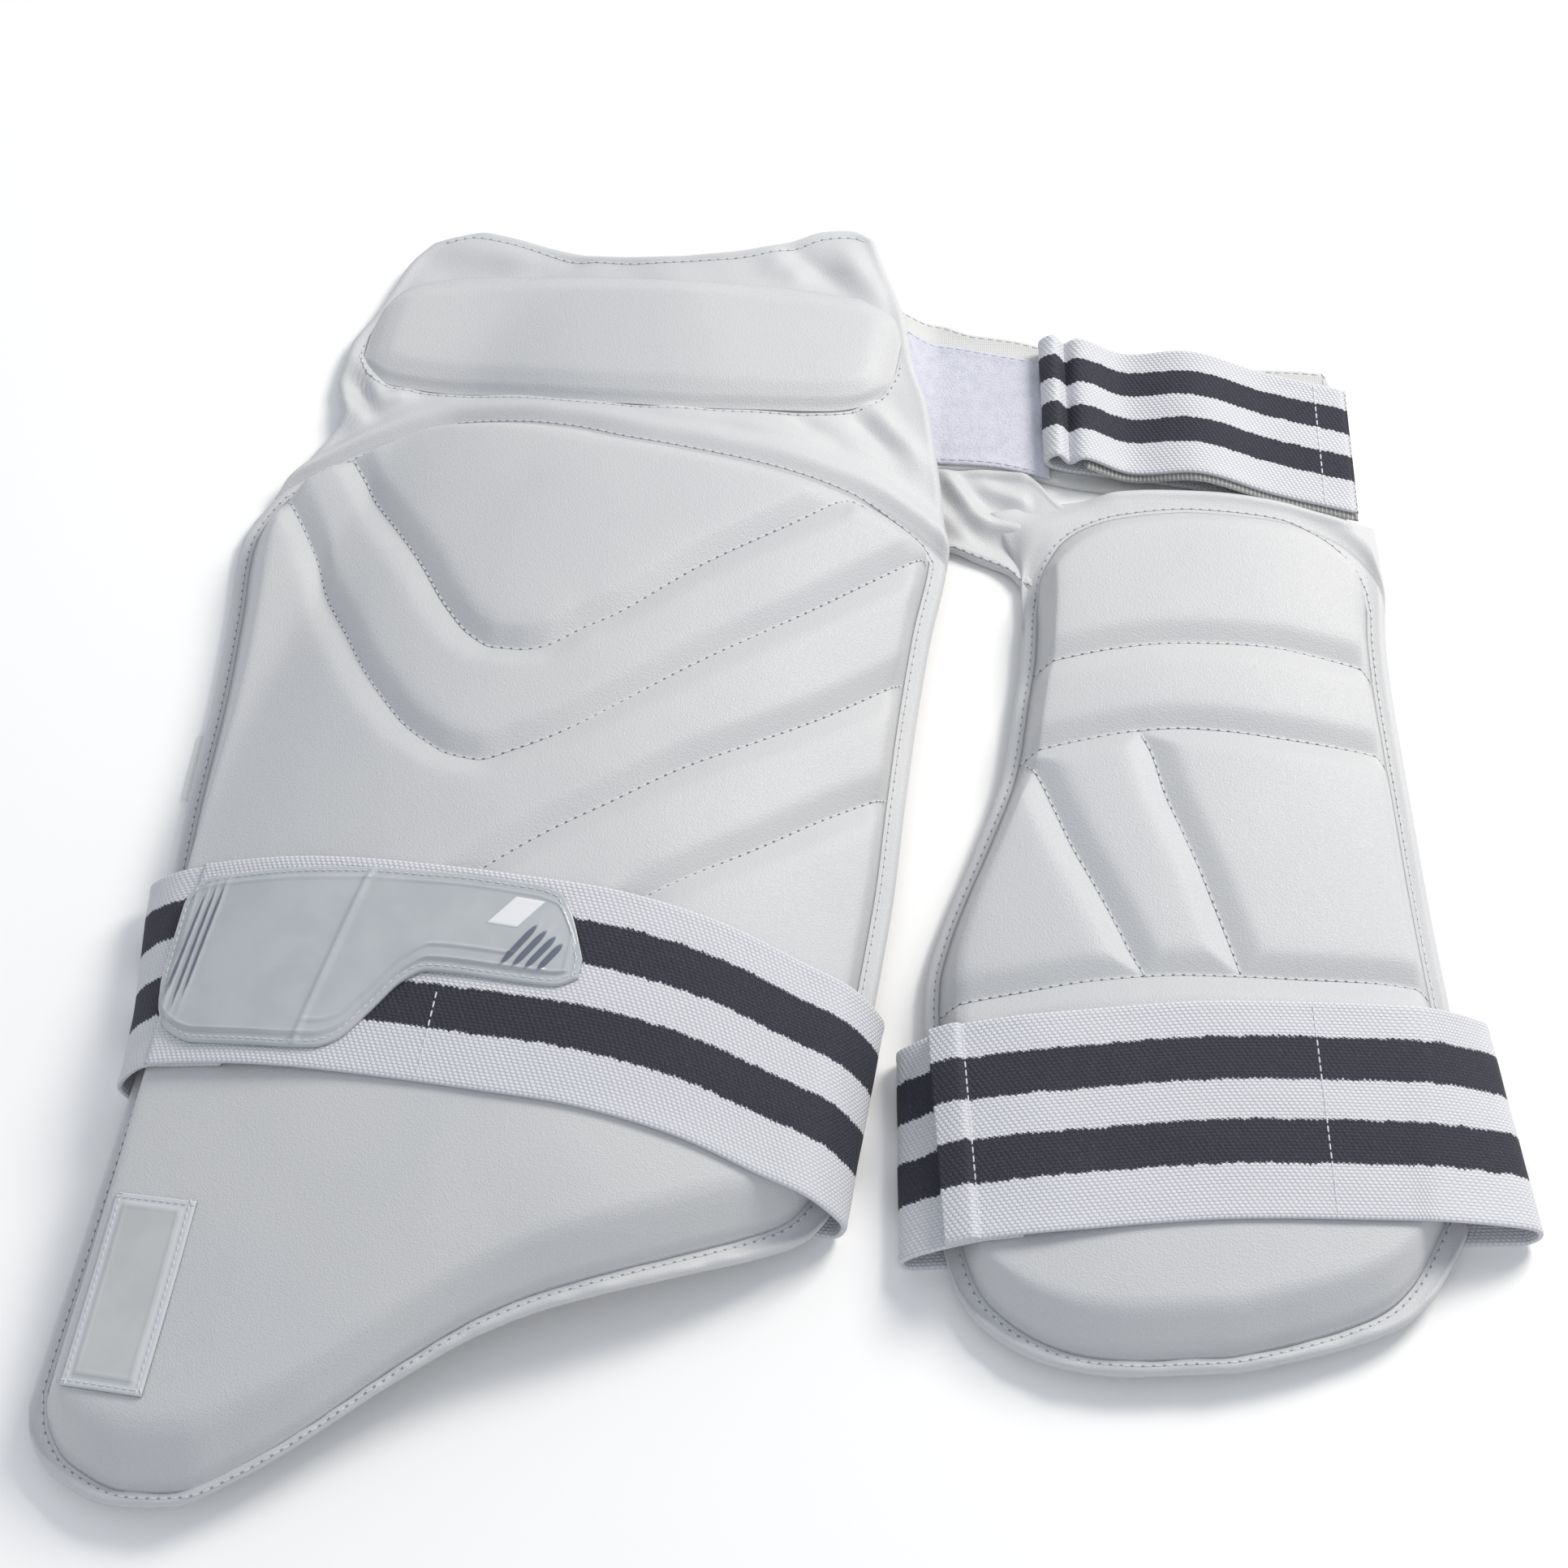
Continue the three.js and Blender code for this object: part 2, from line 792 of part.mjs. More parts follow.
// Badge on the tail of the outer guard
function legBadge() {
  const g = outer;
  const ride = carrierThick / 2 + g.foam + 2 * pieceGap;
  const [centreU, centreV] = [-0.342 * outerWidth, -0.22 * outerLength];
  const lean = -0.03;
  const grid = (off) =>
    shares(3).map((s) =>
      shares(5).map((t) => {
        const v = centreV + (t - 0.5) * legBadgeLength;
        const u = centreU + (s - 0.5) * legBadgeWidth - lean * (v - centreV);
        return g.point(u, v, ride + off);
      }),
    );
  return slab(grid(patchThick), grid(0));
}

// Size label: a short tab of ribbon that sticks out from under the outer guard's left edge
function sizeLabel() {
  const g = outer;
  const centreV = 0.158 * outerLength;
  const hidden = 7;
  const grid = (off) =>
    shares(2).map((s) =>
      shares(2).map((t) => {
        const v = centreV + (t - 0.5) * labelLength;
        const edge = g.side(v, "left", 0);
        const u = edge - labelOut + (labelOut + hidden) * s;
        return g.point(u, v, off - carrierThick / 2 - pieceGap);
      }),
    );
  return slab(grid(0), grid(-0.6));
}

// A flat piece between a lower and an upper edge, laid at a height that may change
function laid(edges, reach, counts, bottomOf, thick) {
  const grid = (off) =>
    shares(counts[0]).map((s) => {
      const x = reach[0] + (reach[1] - reach[0]) * s;
      const [low, high] = edges(x);
      return shares(counts[1]).map((t) => {
        const y = low + (high - low) * t;
        return new THREE.Vector3(x, y, bottomOf(x, y) + off);
      });
    });
  return slab(grid(thick), grid(0));
}

// Waist belt: shares of its length from the outer guard's side, and of its width
const beltStart = [38, 96];
const beltOutline = table("across low high", [
  [0, 0.56, 1.52],
  [0.12, 0.545, 1.52],
  [0.2, 0.54, 1.45],
  [0.3, 0.5, 1.41],
  [0.4, 0.43, 1.33],
  [0.6, 0.36, 1.22],
  [0.9, 0.24, 1.21],
  [0.98, 0.22, 1.19],
  [1, 0.24, 1.03],
]);
const beltEdge = (name, x) => read(beltOutline, name, x / beltLength) * beltWidth;

// The belt and the bridge rise from the surface to the underside of the carrier that holds them
function sewnRise(g, x, y, thick, share) {
  const under = g.underside(x + beltStart[0], y + beltStart[1]);
  return Math.max(0, share) * Math.max(0, under - pieceGap - thick);
}
const easeOut = (t) => {
  const c = Math.min(1, Math.max(0, t));
  return 1 - c * c * (3 - 2 * c);
};
const riseLength = 22;
const beltBottom = (x, y) => sewnRise(outer, x, y, beltThick, easeOut(x / riseLength));

function waistBelt() {
  const edges = (x) => [beltEdge("low", x), beltEdge("high", x)];
  return laid(edges, [0, beltLength], [18, 3], beltBottom, beltThick);
}

// Loop patch on the belt, as shares of its length and of the belt's width
const loopOutline = table("across low high", [
  [0, 0.585, 1.32],
  [0.5, 0.575, 1.28],
  [0.75, 0.56, 1.25],
  [1, 0.47, 1.17],
]);
const loopStart = 21;
function loopPatch() {
  const edges = (x) => {
    const share = (x - loopStart) / loopPatchLength;
    return ["low", "high"].map((name) => read(loopOutline, name, share) * beltWidth);
  };
  const bottom = (x, y) => beltBottom(x, y) + beltThick + pieceGap;
  return laid(edges, [loopStart, loopStart + loopPatchLength], [6, 2], bottom, patchThick);
}

// Bridge: the web of cloth that joins the belt and the outer guard's side to the inner guard
const bridgeLength = 58;
const bridgeFoot = table("across low", [
  [0, 0.02],
  [0.35, 0.02],
  [0.56, -0.05],
  [0.76, -0.14],
  [0.86, -0.24],
  [1, -0.3],
]);
function bridge() {
  const foot = (x) => read(bridgeFoot, "low", x / bridgeLength) * beltWidth;
  const edges = (x) => [foot(x), beltEdge("low", x) - pieceGap];
  const bottom = (x, y) =>
    sewnRise(outer, x, y, beltThick, easeOut(x / riseLength)) +
    sewnRise(inner, x, y, bridgeThick, easeOut((bridgeLength - x) / riseLength));
  return laid(edges, [0, bridgeLength], [12, 4], bottom, bridgeThick);
}

// Waist strap: its lower layer lies on the belt, it folds at the left and returns on top
const waistLine = table("across low", [
  [0, 0.53],
  [0.2, 0.47],
  [0.45, 0.4],
  [0.7, 0.3],
  [1, 0.16],
]);
function waistStrap() {
  const lanes = 4;
  const rest = beltThick + pieceGap + webbingThick / 2;
  const [left, right] = [0.35 * beltLength, 0.35 * beltLength + waistStrapLength];
  const stations = [];
  for (let j = 0; j < lanes; j++) {
    const y = (x) => {
      const share = (x - left) / waistStrapLength;
      return read(waistLine, "low", share) * beltWidth + (j / (lanes - 1)) * waistWebbing;
    };
    const at = (x, z) => new THREE.Vector3(x, y(x), z);
    const top = table("across rise", [
      [0.04, 0.75],
      [0.1, 0.9],
      [0.25, 0.55],
      [0.47, 1],
      [0.7, 0.62],
      [0.96, 0.5],
    ]);
    const points = [at(right - 8, rest), at((left + right) / 2, rest), at(left + 16, rest)];
    points.push(at(left + 7, rest + 0.1), at(left + 1.4, rest + 1.6), at(left, rest + 5));
    for (const [share, rise] of top.rows) {
      points.push(at(left + share * waistStrapLength, rest + 3 + rise * waistHump));
    }
    stations.push(smooth(points));
  }
  const path = stations[0].map((_, k) => stations.map((lane) => lane[k]));
  return band(path, webbingThick);
}

// Materials, in the colours of the real thing
const white = new THREE.MeshStandardMaterial({ color: 0xdcdfe2, roughness: 0.5 });
const shade = new THREE.MeshStandardMaterial({ color: 0xcfd4da, roughness: 0.55 });
const cream = new THREE.MeshStandardMaterial({ color: 0xe5e5da, roughness: 0.7 });
const weave = new THREE.MeshStandardMaterial({ color: 0xe2e3ea, roughness: 0.85 });
const loops = new THREE.MeshStandardMaterial({ color: 0xd9d9e8, roughness: 0.95 });
const plate = new THREE.MeshStandardMaterial({ color: 0xc6ccd0, roughness: 0.2 });

function piece(name, geometry, material) {
  const mesh = new THREE.Mesh(geometry, material);
  mesh.name = name;
  return mesh;
}

const outerGroup = new THREE.Group();
outerGroup.add(
  piece("outer_carrier", carrier(outer, 22, 20), shade),
  piece("outer_pad", face(outer, [22], [5, 1, 3, 1, 4]), white),
  piece("hip_pad", hipPad(), white),
  piece("outer_strap", thighStrap(outer, outerRun), weave),
  piece("strap_badge", strapBadge(), plate),
  piece("leg_badge", legBadge(), plate),
  piece("size_label", sizeLabel(), cream),
);
outerGroup.position.set(outerPlace[0], outerPlace[1], 0);
outerGroup.rotation.z = THREE.MathUtils.degToRad(outerTurn);

const innerGroup = new THREE.Group();
innerGroup.add(
  piece("inner_carrier", carrier(inner, 16, 14), shade),
  piece("inner_pad", face(inner, [2, 2, 6], [4, 3, 1, 2]), white),
  piece("inner_strap", thighStrap(inner, innerRun), weave),
);
innerGroup.position.set(innerPlace[0], innerPlace[1], 0);
innerGroup.rotation.z = THREE.MathUtils.degToRad(innerTurn);

const beltGroup = new THREE.Group();
beltGroup.add(
  piece("waist_belt", waistBelt(), cream),
  piece("loop_patch", loopPatch(), loops),
  piece("bridge_web", bridge(), shade),
  piece("waist_strap", waistStrap(), weave),
);
beltGroup.position.set(beltStart[0], beltStart[1], 0);

// The origin is under the middle of the whole set, on the surface that it lies on
const set = new THREE.Group();
set.add(outerGroup, innerGroup, beltGroup);
const extent = new THREE.Box3().setFromObject(set, true);
const middle = extent.getCenter(new THREE.Vector3());
set.position.set(-middle.x, -middle.y, -extent.min.z);

const thighGuard = new THREE.Group();
thighGuard.add(set);
export default thighGuard;
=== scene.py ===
# %% [markdown]
# # A cricket thigh guard, face up on a table
# The set has two padded guards. The long one covers the front of the leading thigh and the hip, and
# the short one covers the inside of the other thigh. A belt joins them, and a striped elastic strap
# runs round each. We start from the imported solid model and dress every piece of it.

# %% Load the frame
import math

import bpy
import numpy as np
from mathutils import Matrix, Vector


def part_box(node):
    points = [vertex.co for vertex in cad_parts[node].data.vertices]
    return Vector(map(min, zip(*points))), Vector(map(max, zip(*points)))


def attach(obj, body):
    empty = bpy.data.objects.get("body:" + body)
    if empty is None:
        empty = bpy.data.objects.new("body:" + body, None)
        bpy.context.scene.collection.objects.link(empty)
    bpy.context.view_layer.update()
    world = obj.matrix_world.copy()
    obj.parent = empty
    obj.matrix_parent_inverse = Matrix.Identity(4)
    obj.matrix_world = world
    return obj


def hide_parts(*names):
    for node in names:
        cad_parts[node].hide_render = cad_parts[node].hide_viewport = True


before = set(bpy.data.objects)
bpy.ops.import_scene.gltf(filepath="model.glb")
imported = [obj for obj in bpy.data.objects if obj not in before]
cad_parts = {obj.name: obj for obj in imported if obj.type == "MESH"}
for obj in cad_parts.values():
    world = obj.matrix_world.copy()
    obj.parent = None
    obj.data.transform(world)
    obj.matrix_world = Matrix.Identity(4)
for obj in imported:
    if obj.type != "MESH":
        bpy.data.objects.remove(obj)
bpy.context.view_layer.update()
BODY = "root"
print("nodes", sorted(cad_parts))

# %% [markdown]
# ## Units and tables
# All lengths below are millimetres, and a mesh is turned into metres when it is made. Outlines,
# arches and seams are short tables with named columns, as shares of the size that they follow. A
# table is read on a smooth curve through its rows, for a whole array of places at once.

# %% Tables read for whole arrays
MM = 0.001


def table(names, rows):
    """A table: its column names and its rows. To be read, its first column has to rise."""
    return {"names": names.split(), "rows": np.array(rows, float)}


def read(tab, name, x):
    """The column at x: between two rows, a cubic whose slopes are the harmonic mean of the
    rises on both sides, or zero at a peak, so that the curve never overshoots its rows."""
    keys = tab["rows"][:, 0]
    values = tab["rows"][:, tab["names"].index(name)]
    steps = np.diff(keys)
    rises = np.diff(values) / steps
    before, after = rises[:-1], rises[1:]
    total = np.where(before * after > 0, before + after, 1)
    inner_slopes = np.where(before * after > 0, 2 * before * after / total, 0)
    slopes = np.concatenate([rises[:1], inner_slopes, rises[-1:]])
    x = np.clip(np.asarray(x, float), keys[0], keys[-1])
    i = np.clip(np.searchsorted(keys, x, side="right") - 1, 0, len(steps) - 1)
    h = steps[i]
    t = (x - keys[i]) / h
    return (
        values[i] * (2 * t**3 - 3 * t**2 + 1)
        + values[i + 1] * (3 * t**2 - 2 * t**3)
        + slopes[i] * h * (t**3 - 2 * t**2 + t)
        + slopes[i + 1] * h * (t**3 - t**2)
    )


# %% Sizes of the set
THIGH_WEBBING = 75
WAIST_WEBBING = 56
WEBBING_THICK = 1.8
CARRIER_THICK = 3
BELT_THICK = 2.4
BRIDGE_THICK = 1.8
PATCH_THICK = 1.2
PIECE_GAP = 0.4
FLOOR_GAP = 0.25
SEAM_FOAM = 1.5
GROOVE_HALF = 8
EDGE_BEVEL = 8
LIP_SIDE = 5.5
LIP_FAR = 7
LIP_FOOT = 4.5
HIP_FOAM = 5.6
HIP_BEVEL = 10.5
HIP_CROWN = 0.12
RIM_THICK = 0.2
FOOT_SOFTNESS = 0.2
ARCH_POWER = 2.3
STRAP_SEAT = WEBBING_THICK + PIECE_GAP + CARRIER_THICK / 2
FACE_SEAT = CARRIER_THICK / 2 + PIECE_GAP / 2
STRAP_LAYER = WEBBING_THICK + 0.7 * PIECE_GAP

# %% [markdown]
# ## The two guards
# Each guard has a frame of its own: u runs across it and v along it, both from the middle of its
# thigh strap. Its carrier is a panel bent into an arch, and everything else on the guard is placed
# by u, v and a distance off the middle of that panel, measured along the panel's normal.

# %% Tables of the outer guard
OUTER = {
    "length": 532,
    "width": 260,
    "crown": 31,
    "foam": 14.5,
    "turn": math.radians(-10.5),
    "place": (-92, -101),
    "arch": table("along left right crown lift", [
        (-0.357, -0.454, 0.5, 0.323, 0.55), (-0.226, -0.481, 0.492, 0.548, 0.65),
        (-0.075, -0.462, 0.477, 0.871, 1), (0.066, -0.442, 0.465, 1, 1), (0.226, -0.404, 0.454, 1, 0.7),
        (0.376, -0.354, 0.469, 0.903, 0.9), (0.489, -0.277, 0.492, 0.645, 1.2),
        (0.62, -0.192, 0.5, 0.387, 1.2),
    ]),
    "sides": table("along left right", [
        (-0.34, -0.454, 0.456), (-0.286, -0.46, 0.456), (-0.182, -0.456, 0.456), (-0.068, -0.454, 0.456),
        (0.064, -0.49, 0.456), (0.124, -0.504, 0.455), (0.207, -0.516, 0.446), (0.274, -0.531, 0.44),
        (0.333, -0.546, 0.438), (0.385, -0.51, 0.442), (0.417, -0.483, 0.431), (0.451, -0.46, 0.413),
        (0.481, -0.482, 0.393), (0.513, -0.48, 0.373), (0.545, -0.457, 0.344), (0.594, -0.43, 0.312),
        (0.63, -0.375, 0.275), (0.662, -0.32, 0.242),
    ]),
    "foot": table("across along", [
        (0, -0.286), (0.017, -0.308), (0.059, -0.327), (0.143, -0.338), (0.227, -0.333), (0.298, -0.314),
        (0.357, -0.293), (0.483, -0.239), (0.567, -0.207), (0.64, -0.186), (0.733, -0.165),
        (0.82, -0.146), (0.92, -0.122), (0.965, -0.107), (0.989, -0.09), (1, -0.076),
    ]),
    "top": table("across along", [
        (0, 0.612), (0.03, 0.622), (0.07, 0.63), (0.15, 0.628), (0.27, 0.621), (0.44, 0.618),
        (0.6, 0.626), (0.78, 0.645), (0.87, 0.658), (0.95, 0.663), (1, 0.657),
    ]),
    "face_top": table("across along", [
        (0, 0.374), (0.03, 0.4), (0.08, 0.426), (0.14, 0.441), (0.2, 0.448), (0.3, 0.446), (0.4, 0.441),
        (0.5, 0.434), (0.6, 0.431), (0.76, 0.427), (0.87, 0.421), (0.94, 0.411), (0.985, 0.401),
        (1, 0.392),
    ]),
    "seams": [
        table("across along", [
            (0.1, 0.05), (0.142, 0.08), (0.19, 0.103), (0.254, 0.131), (0.338, 0.173), (0.427, 0.216),
        ]),
        table("across along", [
            (-0.11, 0.05), (-0.053, 0.084), (0.006, 0.113), (0.077, 0.143), (0.151, 0.177),
            (0.235, 0.211), (0.308, 0.244), (0.419, 0.305),
        ]),
        table("across along", [
            (-0.492, 0.374), (-0.454, 0.35), (-0.385, 0.302), (-0.321, 0.258), (-0.277, 0.225),
            (-0.238, 0.201), (-0.202, 0.182), (-0.171, 0.171), (-0.135, 0.162), (-0.1, 0.16),
            (-0.052, 0.172), (0, 0.19), (0.137, 0.255), (0.254, 0.312), (0.325, 0.351), (0.397, 0.392),
        ]),
        table("across along", [
            (-0.438, 0.425), (-0.391, 0.398), (-0.312, 0.355), (-0.243, 0.312), (-0.193, 0.277),
            (-0.149, 0.254), (-0.116, 0.246), (-0.086, 0.246), (-0.055, 0.25), (-0.008, 0.269),
            (0.026, 0.282), (0.122, 0.333), (0.229, 0.385), (0.29, 0.418),
        ]),
    ],
    "ribs": [],
}

# %% Tables of the inner guard
INNER = {
    "length": 342,
    "width": 180,
    "crown": 10,
    "foam": 13.5,
    "turn": math.radians(2.2),
    "place": (136, -138),
    "arch": table("along left right crown lift", [
        (-0.263, -0.511, 0.5, 0.6, 0.7), (0, -0.5, 0.5, 0.9, 1), (0.117, -0.489, 0.478, 1, 1),
        (0.322, -0.4, 0.456, 1, 0.8), (0.468, -0.322, 0.433, 0.9, 0.8), (0.673, -0.267, 0.422, 0.6, 1.15),
        (0.789, -0.278, 0.422, 0.4, 1.2),
    ]),
    "sides": table("along left right", [
        (-0.24, -0.478, 0.467), (-0.111, -0.478, 0.467), (0.131, -0.487, 0.5), (0.17, -0.481, 0.497),
        (0.216, -0.456, 0.494), (0.269, -0.414, 0.492), (0.322, -0.367, 0.491), (0.406, -0.302, 0.489),
        (0.491, -0.267, 0.487), (0.553, -0.244, 0.49), (0.629, -0.232, 0.503), (0.667, -0.236, 0.503),
        (0.708, -0.26, 0.501), (0.76, -0.294, 0.5),
    ]),
    "foot": table("across along", [
        (0, -0.105), (0.025, -0.155), (0.06, -0.183), (0.157, -0.219), (0.247, -0.234), (0.35, -0.24),
        (0.506, -0.24), (0.635, -0.231), (0.776, -0.214), (0.85, -0.199), (0.91, -0.175), (0.967, -0.135),
        (1, -0.108),
    ]),
    "top": table("across along", [
        (0, 0.744), (0.15, 0.75), (0.4, 0.75), (0.6, 0.744), (0.75, 0.733), (0.87, 0.716), (1, 0.702),
    ]),
    "face_top": table("across along", [
        (0, 0.6), (0.015, 0.637), (0.04, 0.658), (0.1, 0.684), (0.19, 0.702), (0.3, 0.713), (0.48, 0.718),
        (0.635, 0.713), (0.765, 0.705), (0.87, 0.686), (0.94, 0.661), (0.985, 0.626), (1, 0.593),
    ]),
    "seams": [
        table("across along", [
            (-0.45, 0.144), (-0.306, 0.151), (-0.172, 0.158), (-0.04, 0.16), (0.094, 0.156),
            (0.22, 0.152), (0.333, 0.15), (0.46, 0.142),
        ]),
        table("across along", [
            (-0.27, 0.422), (-0.144, 0.432), (-0.056, 0.438), (0.026, 0.44), (0.139, 0.434),
            (0.217, 0.427), (0.306, 0.42), (0.461, 0.407),
        ]),
        table("across along", [
            (-0.23, 0.53), (-0.156, 0.535), (-0.067, 0.541), (0.033, 0.544), (0.139, 0.542),
            (0.228, 0.538), (0.311, 0.529), (0.461, 0.511),
        ]),
    ],
    "ribs": [
        table("along across", [
            (0.16, -0.078), (0.182, -0.097), (0.215, -0.118), (0.261, -0.149), (0.308, -0.182),
            (0.353, -0.207), (0.398, -0.233), (0.422, -0.258),
        ]),
        table("along across", [
            (0.16, 0.094), (0.194, 0.08), (0.231, 0.064), (0.278, 0.043), (0.319, 0.021), (0.363, -0.003),
            (0.409, -0.018), (0.438, -0.037),
        ]),
    ],
}

# %% Where the set lies in the frame
BELT_START = (38, 96)
BELT_LENGTH = 170
BELT_WIDTH = 70
belt_low, belt_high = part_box("waist_belt")
BELT_HIGHEST = 1.52
SHIFT = np.array(
    [
        belt_low.x / MM - BELT_START[0],
        belt_high.y / MM - BELT_START[1] - BELT_HIGHEST * BELT_WIDTH,
        0,
    ]
)
print("the set is shifted by", SHIFT.round(2), "mm")


# %% Points on a guard
def height(g, u, v):
    """Height of the panel's middle: the lift of its edge plus a rise that falls with a power
    of the distance from the arch's middle, eased out to nothing past the arch's foot."""
    left, right, crown, lift = (
        read(g["arch"], name, v / g["length"]) for name in ("left", "right", "crown", "lift")
    )
    across = np.abs((2 * u / g["width"] - left - right) / (right - left))
    rise = crown * g["crown"] * (1 - across**ARCH_POWER)
    soft = FOOT_SOFTNESS * g["crown"]
    return lift * STRAP_SEAT + (rise + np.hypot(rise, soft)) / 2


def turned(g, u, v, z):
    """A place in a guard's frame as a point of the whole set: turned, moved and shifted."""
    c, s = math.cos(g["turn"]), math.sin(g["turn"])
    x = g["place"][0] + u * c - v * s
    y = g["place"][1] + u * s + v * c
    return np.stack([x, y, z], -1) + SHIFT


def point(g, u, v, off):
    """The point at u, v and a distance off the panel's middle along its normal, which comes
    from the panel's slopes."""
    step = 0.5
    nu = (height(g, u - step, v) - height(g, u + step, v)) / (2 * step)
    nv = (height(g, u, v - step) - height(g, u, v + step)) / (2 * step)
    size = np.sqrt(nu**2 + nv**2 + 1)
    return turned(g, u + off * nu / size, v + off * nv / size, height(g, u, v) + off / size)


def side(g, v, name, inset):
    """Across place of the left or right edge at v, moved by inset."""
    return read(g["sides"], name, v / g["length"]) * g["width"] + inset


def line_at(g, name, s):
    """Place along the guard of its foot, its top or its face's top, at share s across."""
    return read(g[name], "along", s) * g["length"]


def spot(g, s, v, left=0, right=0):
    """Across place at share s between the two edges at v, each inset."""
    start = side(g, v, "left", left)
    return start + (side(g, v, "right", -right) - start) * s


def face_spot(g, s, v):
    """Across place at share s of the face, which leaves the panel's lip free."""
    return spot(g, s, v, LIP_SIDE, LIP_FAR)


# %% [markdown]
# ## Surfaces from grids
# Every soft piece is a closed shell: an upper and a lower grid of points that share their border.
# Near the border both grids draw together on a quarter ellipse, so the edge of the cloth or
# foam is round, as a turned or bound edge is.


# %% Shells from two grids
def finish_mesh(name, points, quads, uv=None, trace=None):
    """An object from points in millimetres and quads, smooth shaded, with an optional uv map
    and an optional mask called trace, both given at each point."""
    mesh = bpy.data.meshes.new(name)
    mesh.from_pydata((points * MM).tolist(), [], quads.tolist())
    mesh.polygons.foreach_set("use_smooth", np.ones(len(mesh.polygons), bool))
    if uv is not None:
        corners = np.empty(len(mesh.loops), np.int32)
        mesh.loops.foreach_get("vertex_index", corners)
        layer = mesh.uv_layers.new(name="cloth")
        layer.data.foreach_set("uv", uv[corners].astype(np.float32).ravel())
    if trace is not None:
        mask = mesh.attributes.new("trace", "FLOAT", "POINT")
        mask.data.foreach_set("value", trace.astype(np.float32).ravel())
    mesh.update()
    piece = bpy.data.objects.new(name, mesh)
    bpy.context.scene.collection.objects.link(piece)
    return piece


def grid_quads(index):
    """Quads of a grid of vertex numbers, anticlockwise where columns run right and rows up."""
    return np.stack([index[:-1, :-1], index[1:, :-1], index[1:, 1:], index[:-1, 1:]], -1).reshape(-1, 4)


def shell(name, upper, lower, uv=None, trace=None):
    """A closed shell: the lower grid takes its border points from the upper one."""
    columns, rows = upper.shape[:2]
    top = np.arange(columns * rows).reshape(columns, rows)
    bottom = top.copy()
    inside = (columns - 2) * (rows - 2)
    bottom[1:-1, 1:-1] = columns * rows + np.arange(inside).reshape(columns - 2, rows - 2)
    points = np.concatenate([upper.reshape(-1, 3), lower[1:-1, 1:-1].reshape(-1, 3)])
    quads = np.concatenate([grid_quads(top), grid_quads(bottom)[:, ::-1]])
    if uv is not None:
        uv = np.concatenate([uv.reshape(-1, 2), uv[1:-1, 1:-1].reshape(-1, 2)])
    if trace is not None:
        trace = np.concatenate([trace.ravel(), 0 * trace[1:-1, 1:-1].ravel()])
    return finish_mesh(name, points, quads, uv, trace)


def flat_map(u, v):
    """A uv map in metres from two lengths in millimetres."""
    return np.stack([u, v], -1) * MM


def slab(name, g, u, v, under, over, trace=None):
    """A shell over a guard's grid of u and v, between two distances off the panel."""
    upper, lower = point(g, u, v, over), point(g, u, v, under)
    return shell(name, upper, lower, flat_map(u, v), trace)


def raised(name, g, u, v, seat, thick, trace=None):
    """A piece with its own thickness on a seat over the panel, and its grid."""
    return slab(name, g, u, v, seat + 0 * thick, seat + thick, trace), u, v


# %% Small helpers for shapes
def unit(vectors):
    """The vectors of the last axis at length 1."""
    return vectors / np.maximum(np.linalg.norm(vectors, axis=-1, keepdims=True), 1e-9)


def round_edge(distance, radius):
    """0 on the border and 1 from radius inwards, on a quarter circle between."""
    x = np.clip(distance / radius, 0, 1)
    return np.sqrt(1 - (1 - x) ** 2)


def ease_out(t):
    """1 at 0 and 0 from 1 on, on a smooth step."""
    t = np.clip(t, 0, 1)
    return 1 - t * t * (3 - 2 * t)


def bell(x, wide):
    """1 at 0, falling off to both sides over about wide."""
    return np.exp(-((x / wide) ** 2))


def soft_min(a, b, soft):
    """The smaller of two arrays, with its corner rounded over about soft."""
    return (a + b - np.hypot(a - b, soft)) / 2


def border_gap(u, v, left, right, low, high):
    """Distance inwards from the nearest of four edges."""
    return np.minimum(np.minimum(u - left, right - u), np.minimum(v - low, high - v))


def thinned(thick, gap, reach):
    """The thickness, brought down to a thin rim over a reach inside the border."""
    return RIM_THICK + (thick - RIM_THICK) * np.clip(gap / reach, 0, 1)


def low_and_high(tab, share, scale):
    """The lower and the upper edge of an outline, at a share across it."""
    return read(tab, "low", share) * scale, read(tab, "high", share) * scale


def edged(steps, share, rim):
    """Shares from 0 to 1 in even steps, with closer ones inside a rim of that share."""
    close = share * np.array(rim)
    middle = np.linspace(share, 1 - share, steps)
    return np.concatenate([close, middle, 1 - close[::-1]])


RIM = (0, 0.06, 0.2, 0.42, 0.7)


def cut_grid(reach, edges, counts, shares):
    """A grid of two coordinates between two ends and between two edges, closer near its
    border, and both edges."""
    u = reach[0] + (reach[1] - reach[0]) * edged(counts[0], shares[0], RIM)[:, None]
    low, high = edges(u)
    v = low + (high - low) * edged(counts[1], shares[1], RIM)[None, :]
    return u + 0 * v, v, low, high


def ripple(x, y, waves, seed):
    """Soft unevenness of about one unit: a sum of a few waves with seeded headings."""
    chance = np.random.default_rng(seed)
    total = 0
    for length in waves:
        heading, phase = chance.uniform(0, 2 * math.pi, 2)
        along = x * math.cos(heading) + y * math.sin(heading)
        total = total + np.sin(along * 2 * math.pi / length + phase)
    return total / len(waves)

# %% [markdown]
# ## Finishes that more than one piece shares
# The covers are satin synthetic leather with a fine sand grain, the straps are knitted elastic with
# two dark stripes, and the belt is plain woven cloth. Each finish is a node group, built once. It puts
# out a colour, a roughness and a height, and the material feeds them to its own shader and bump.


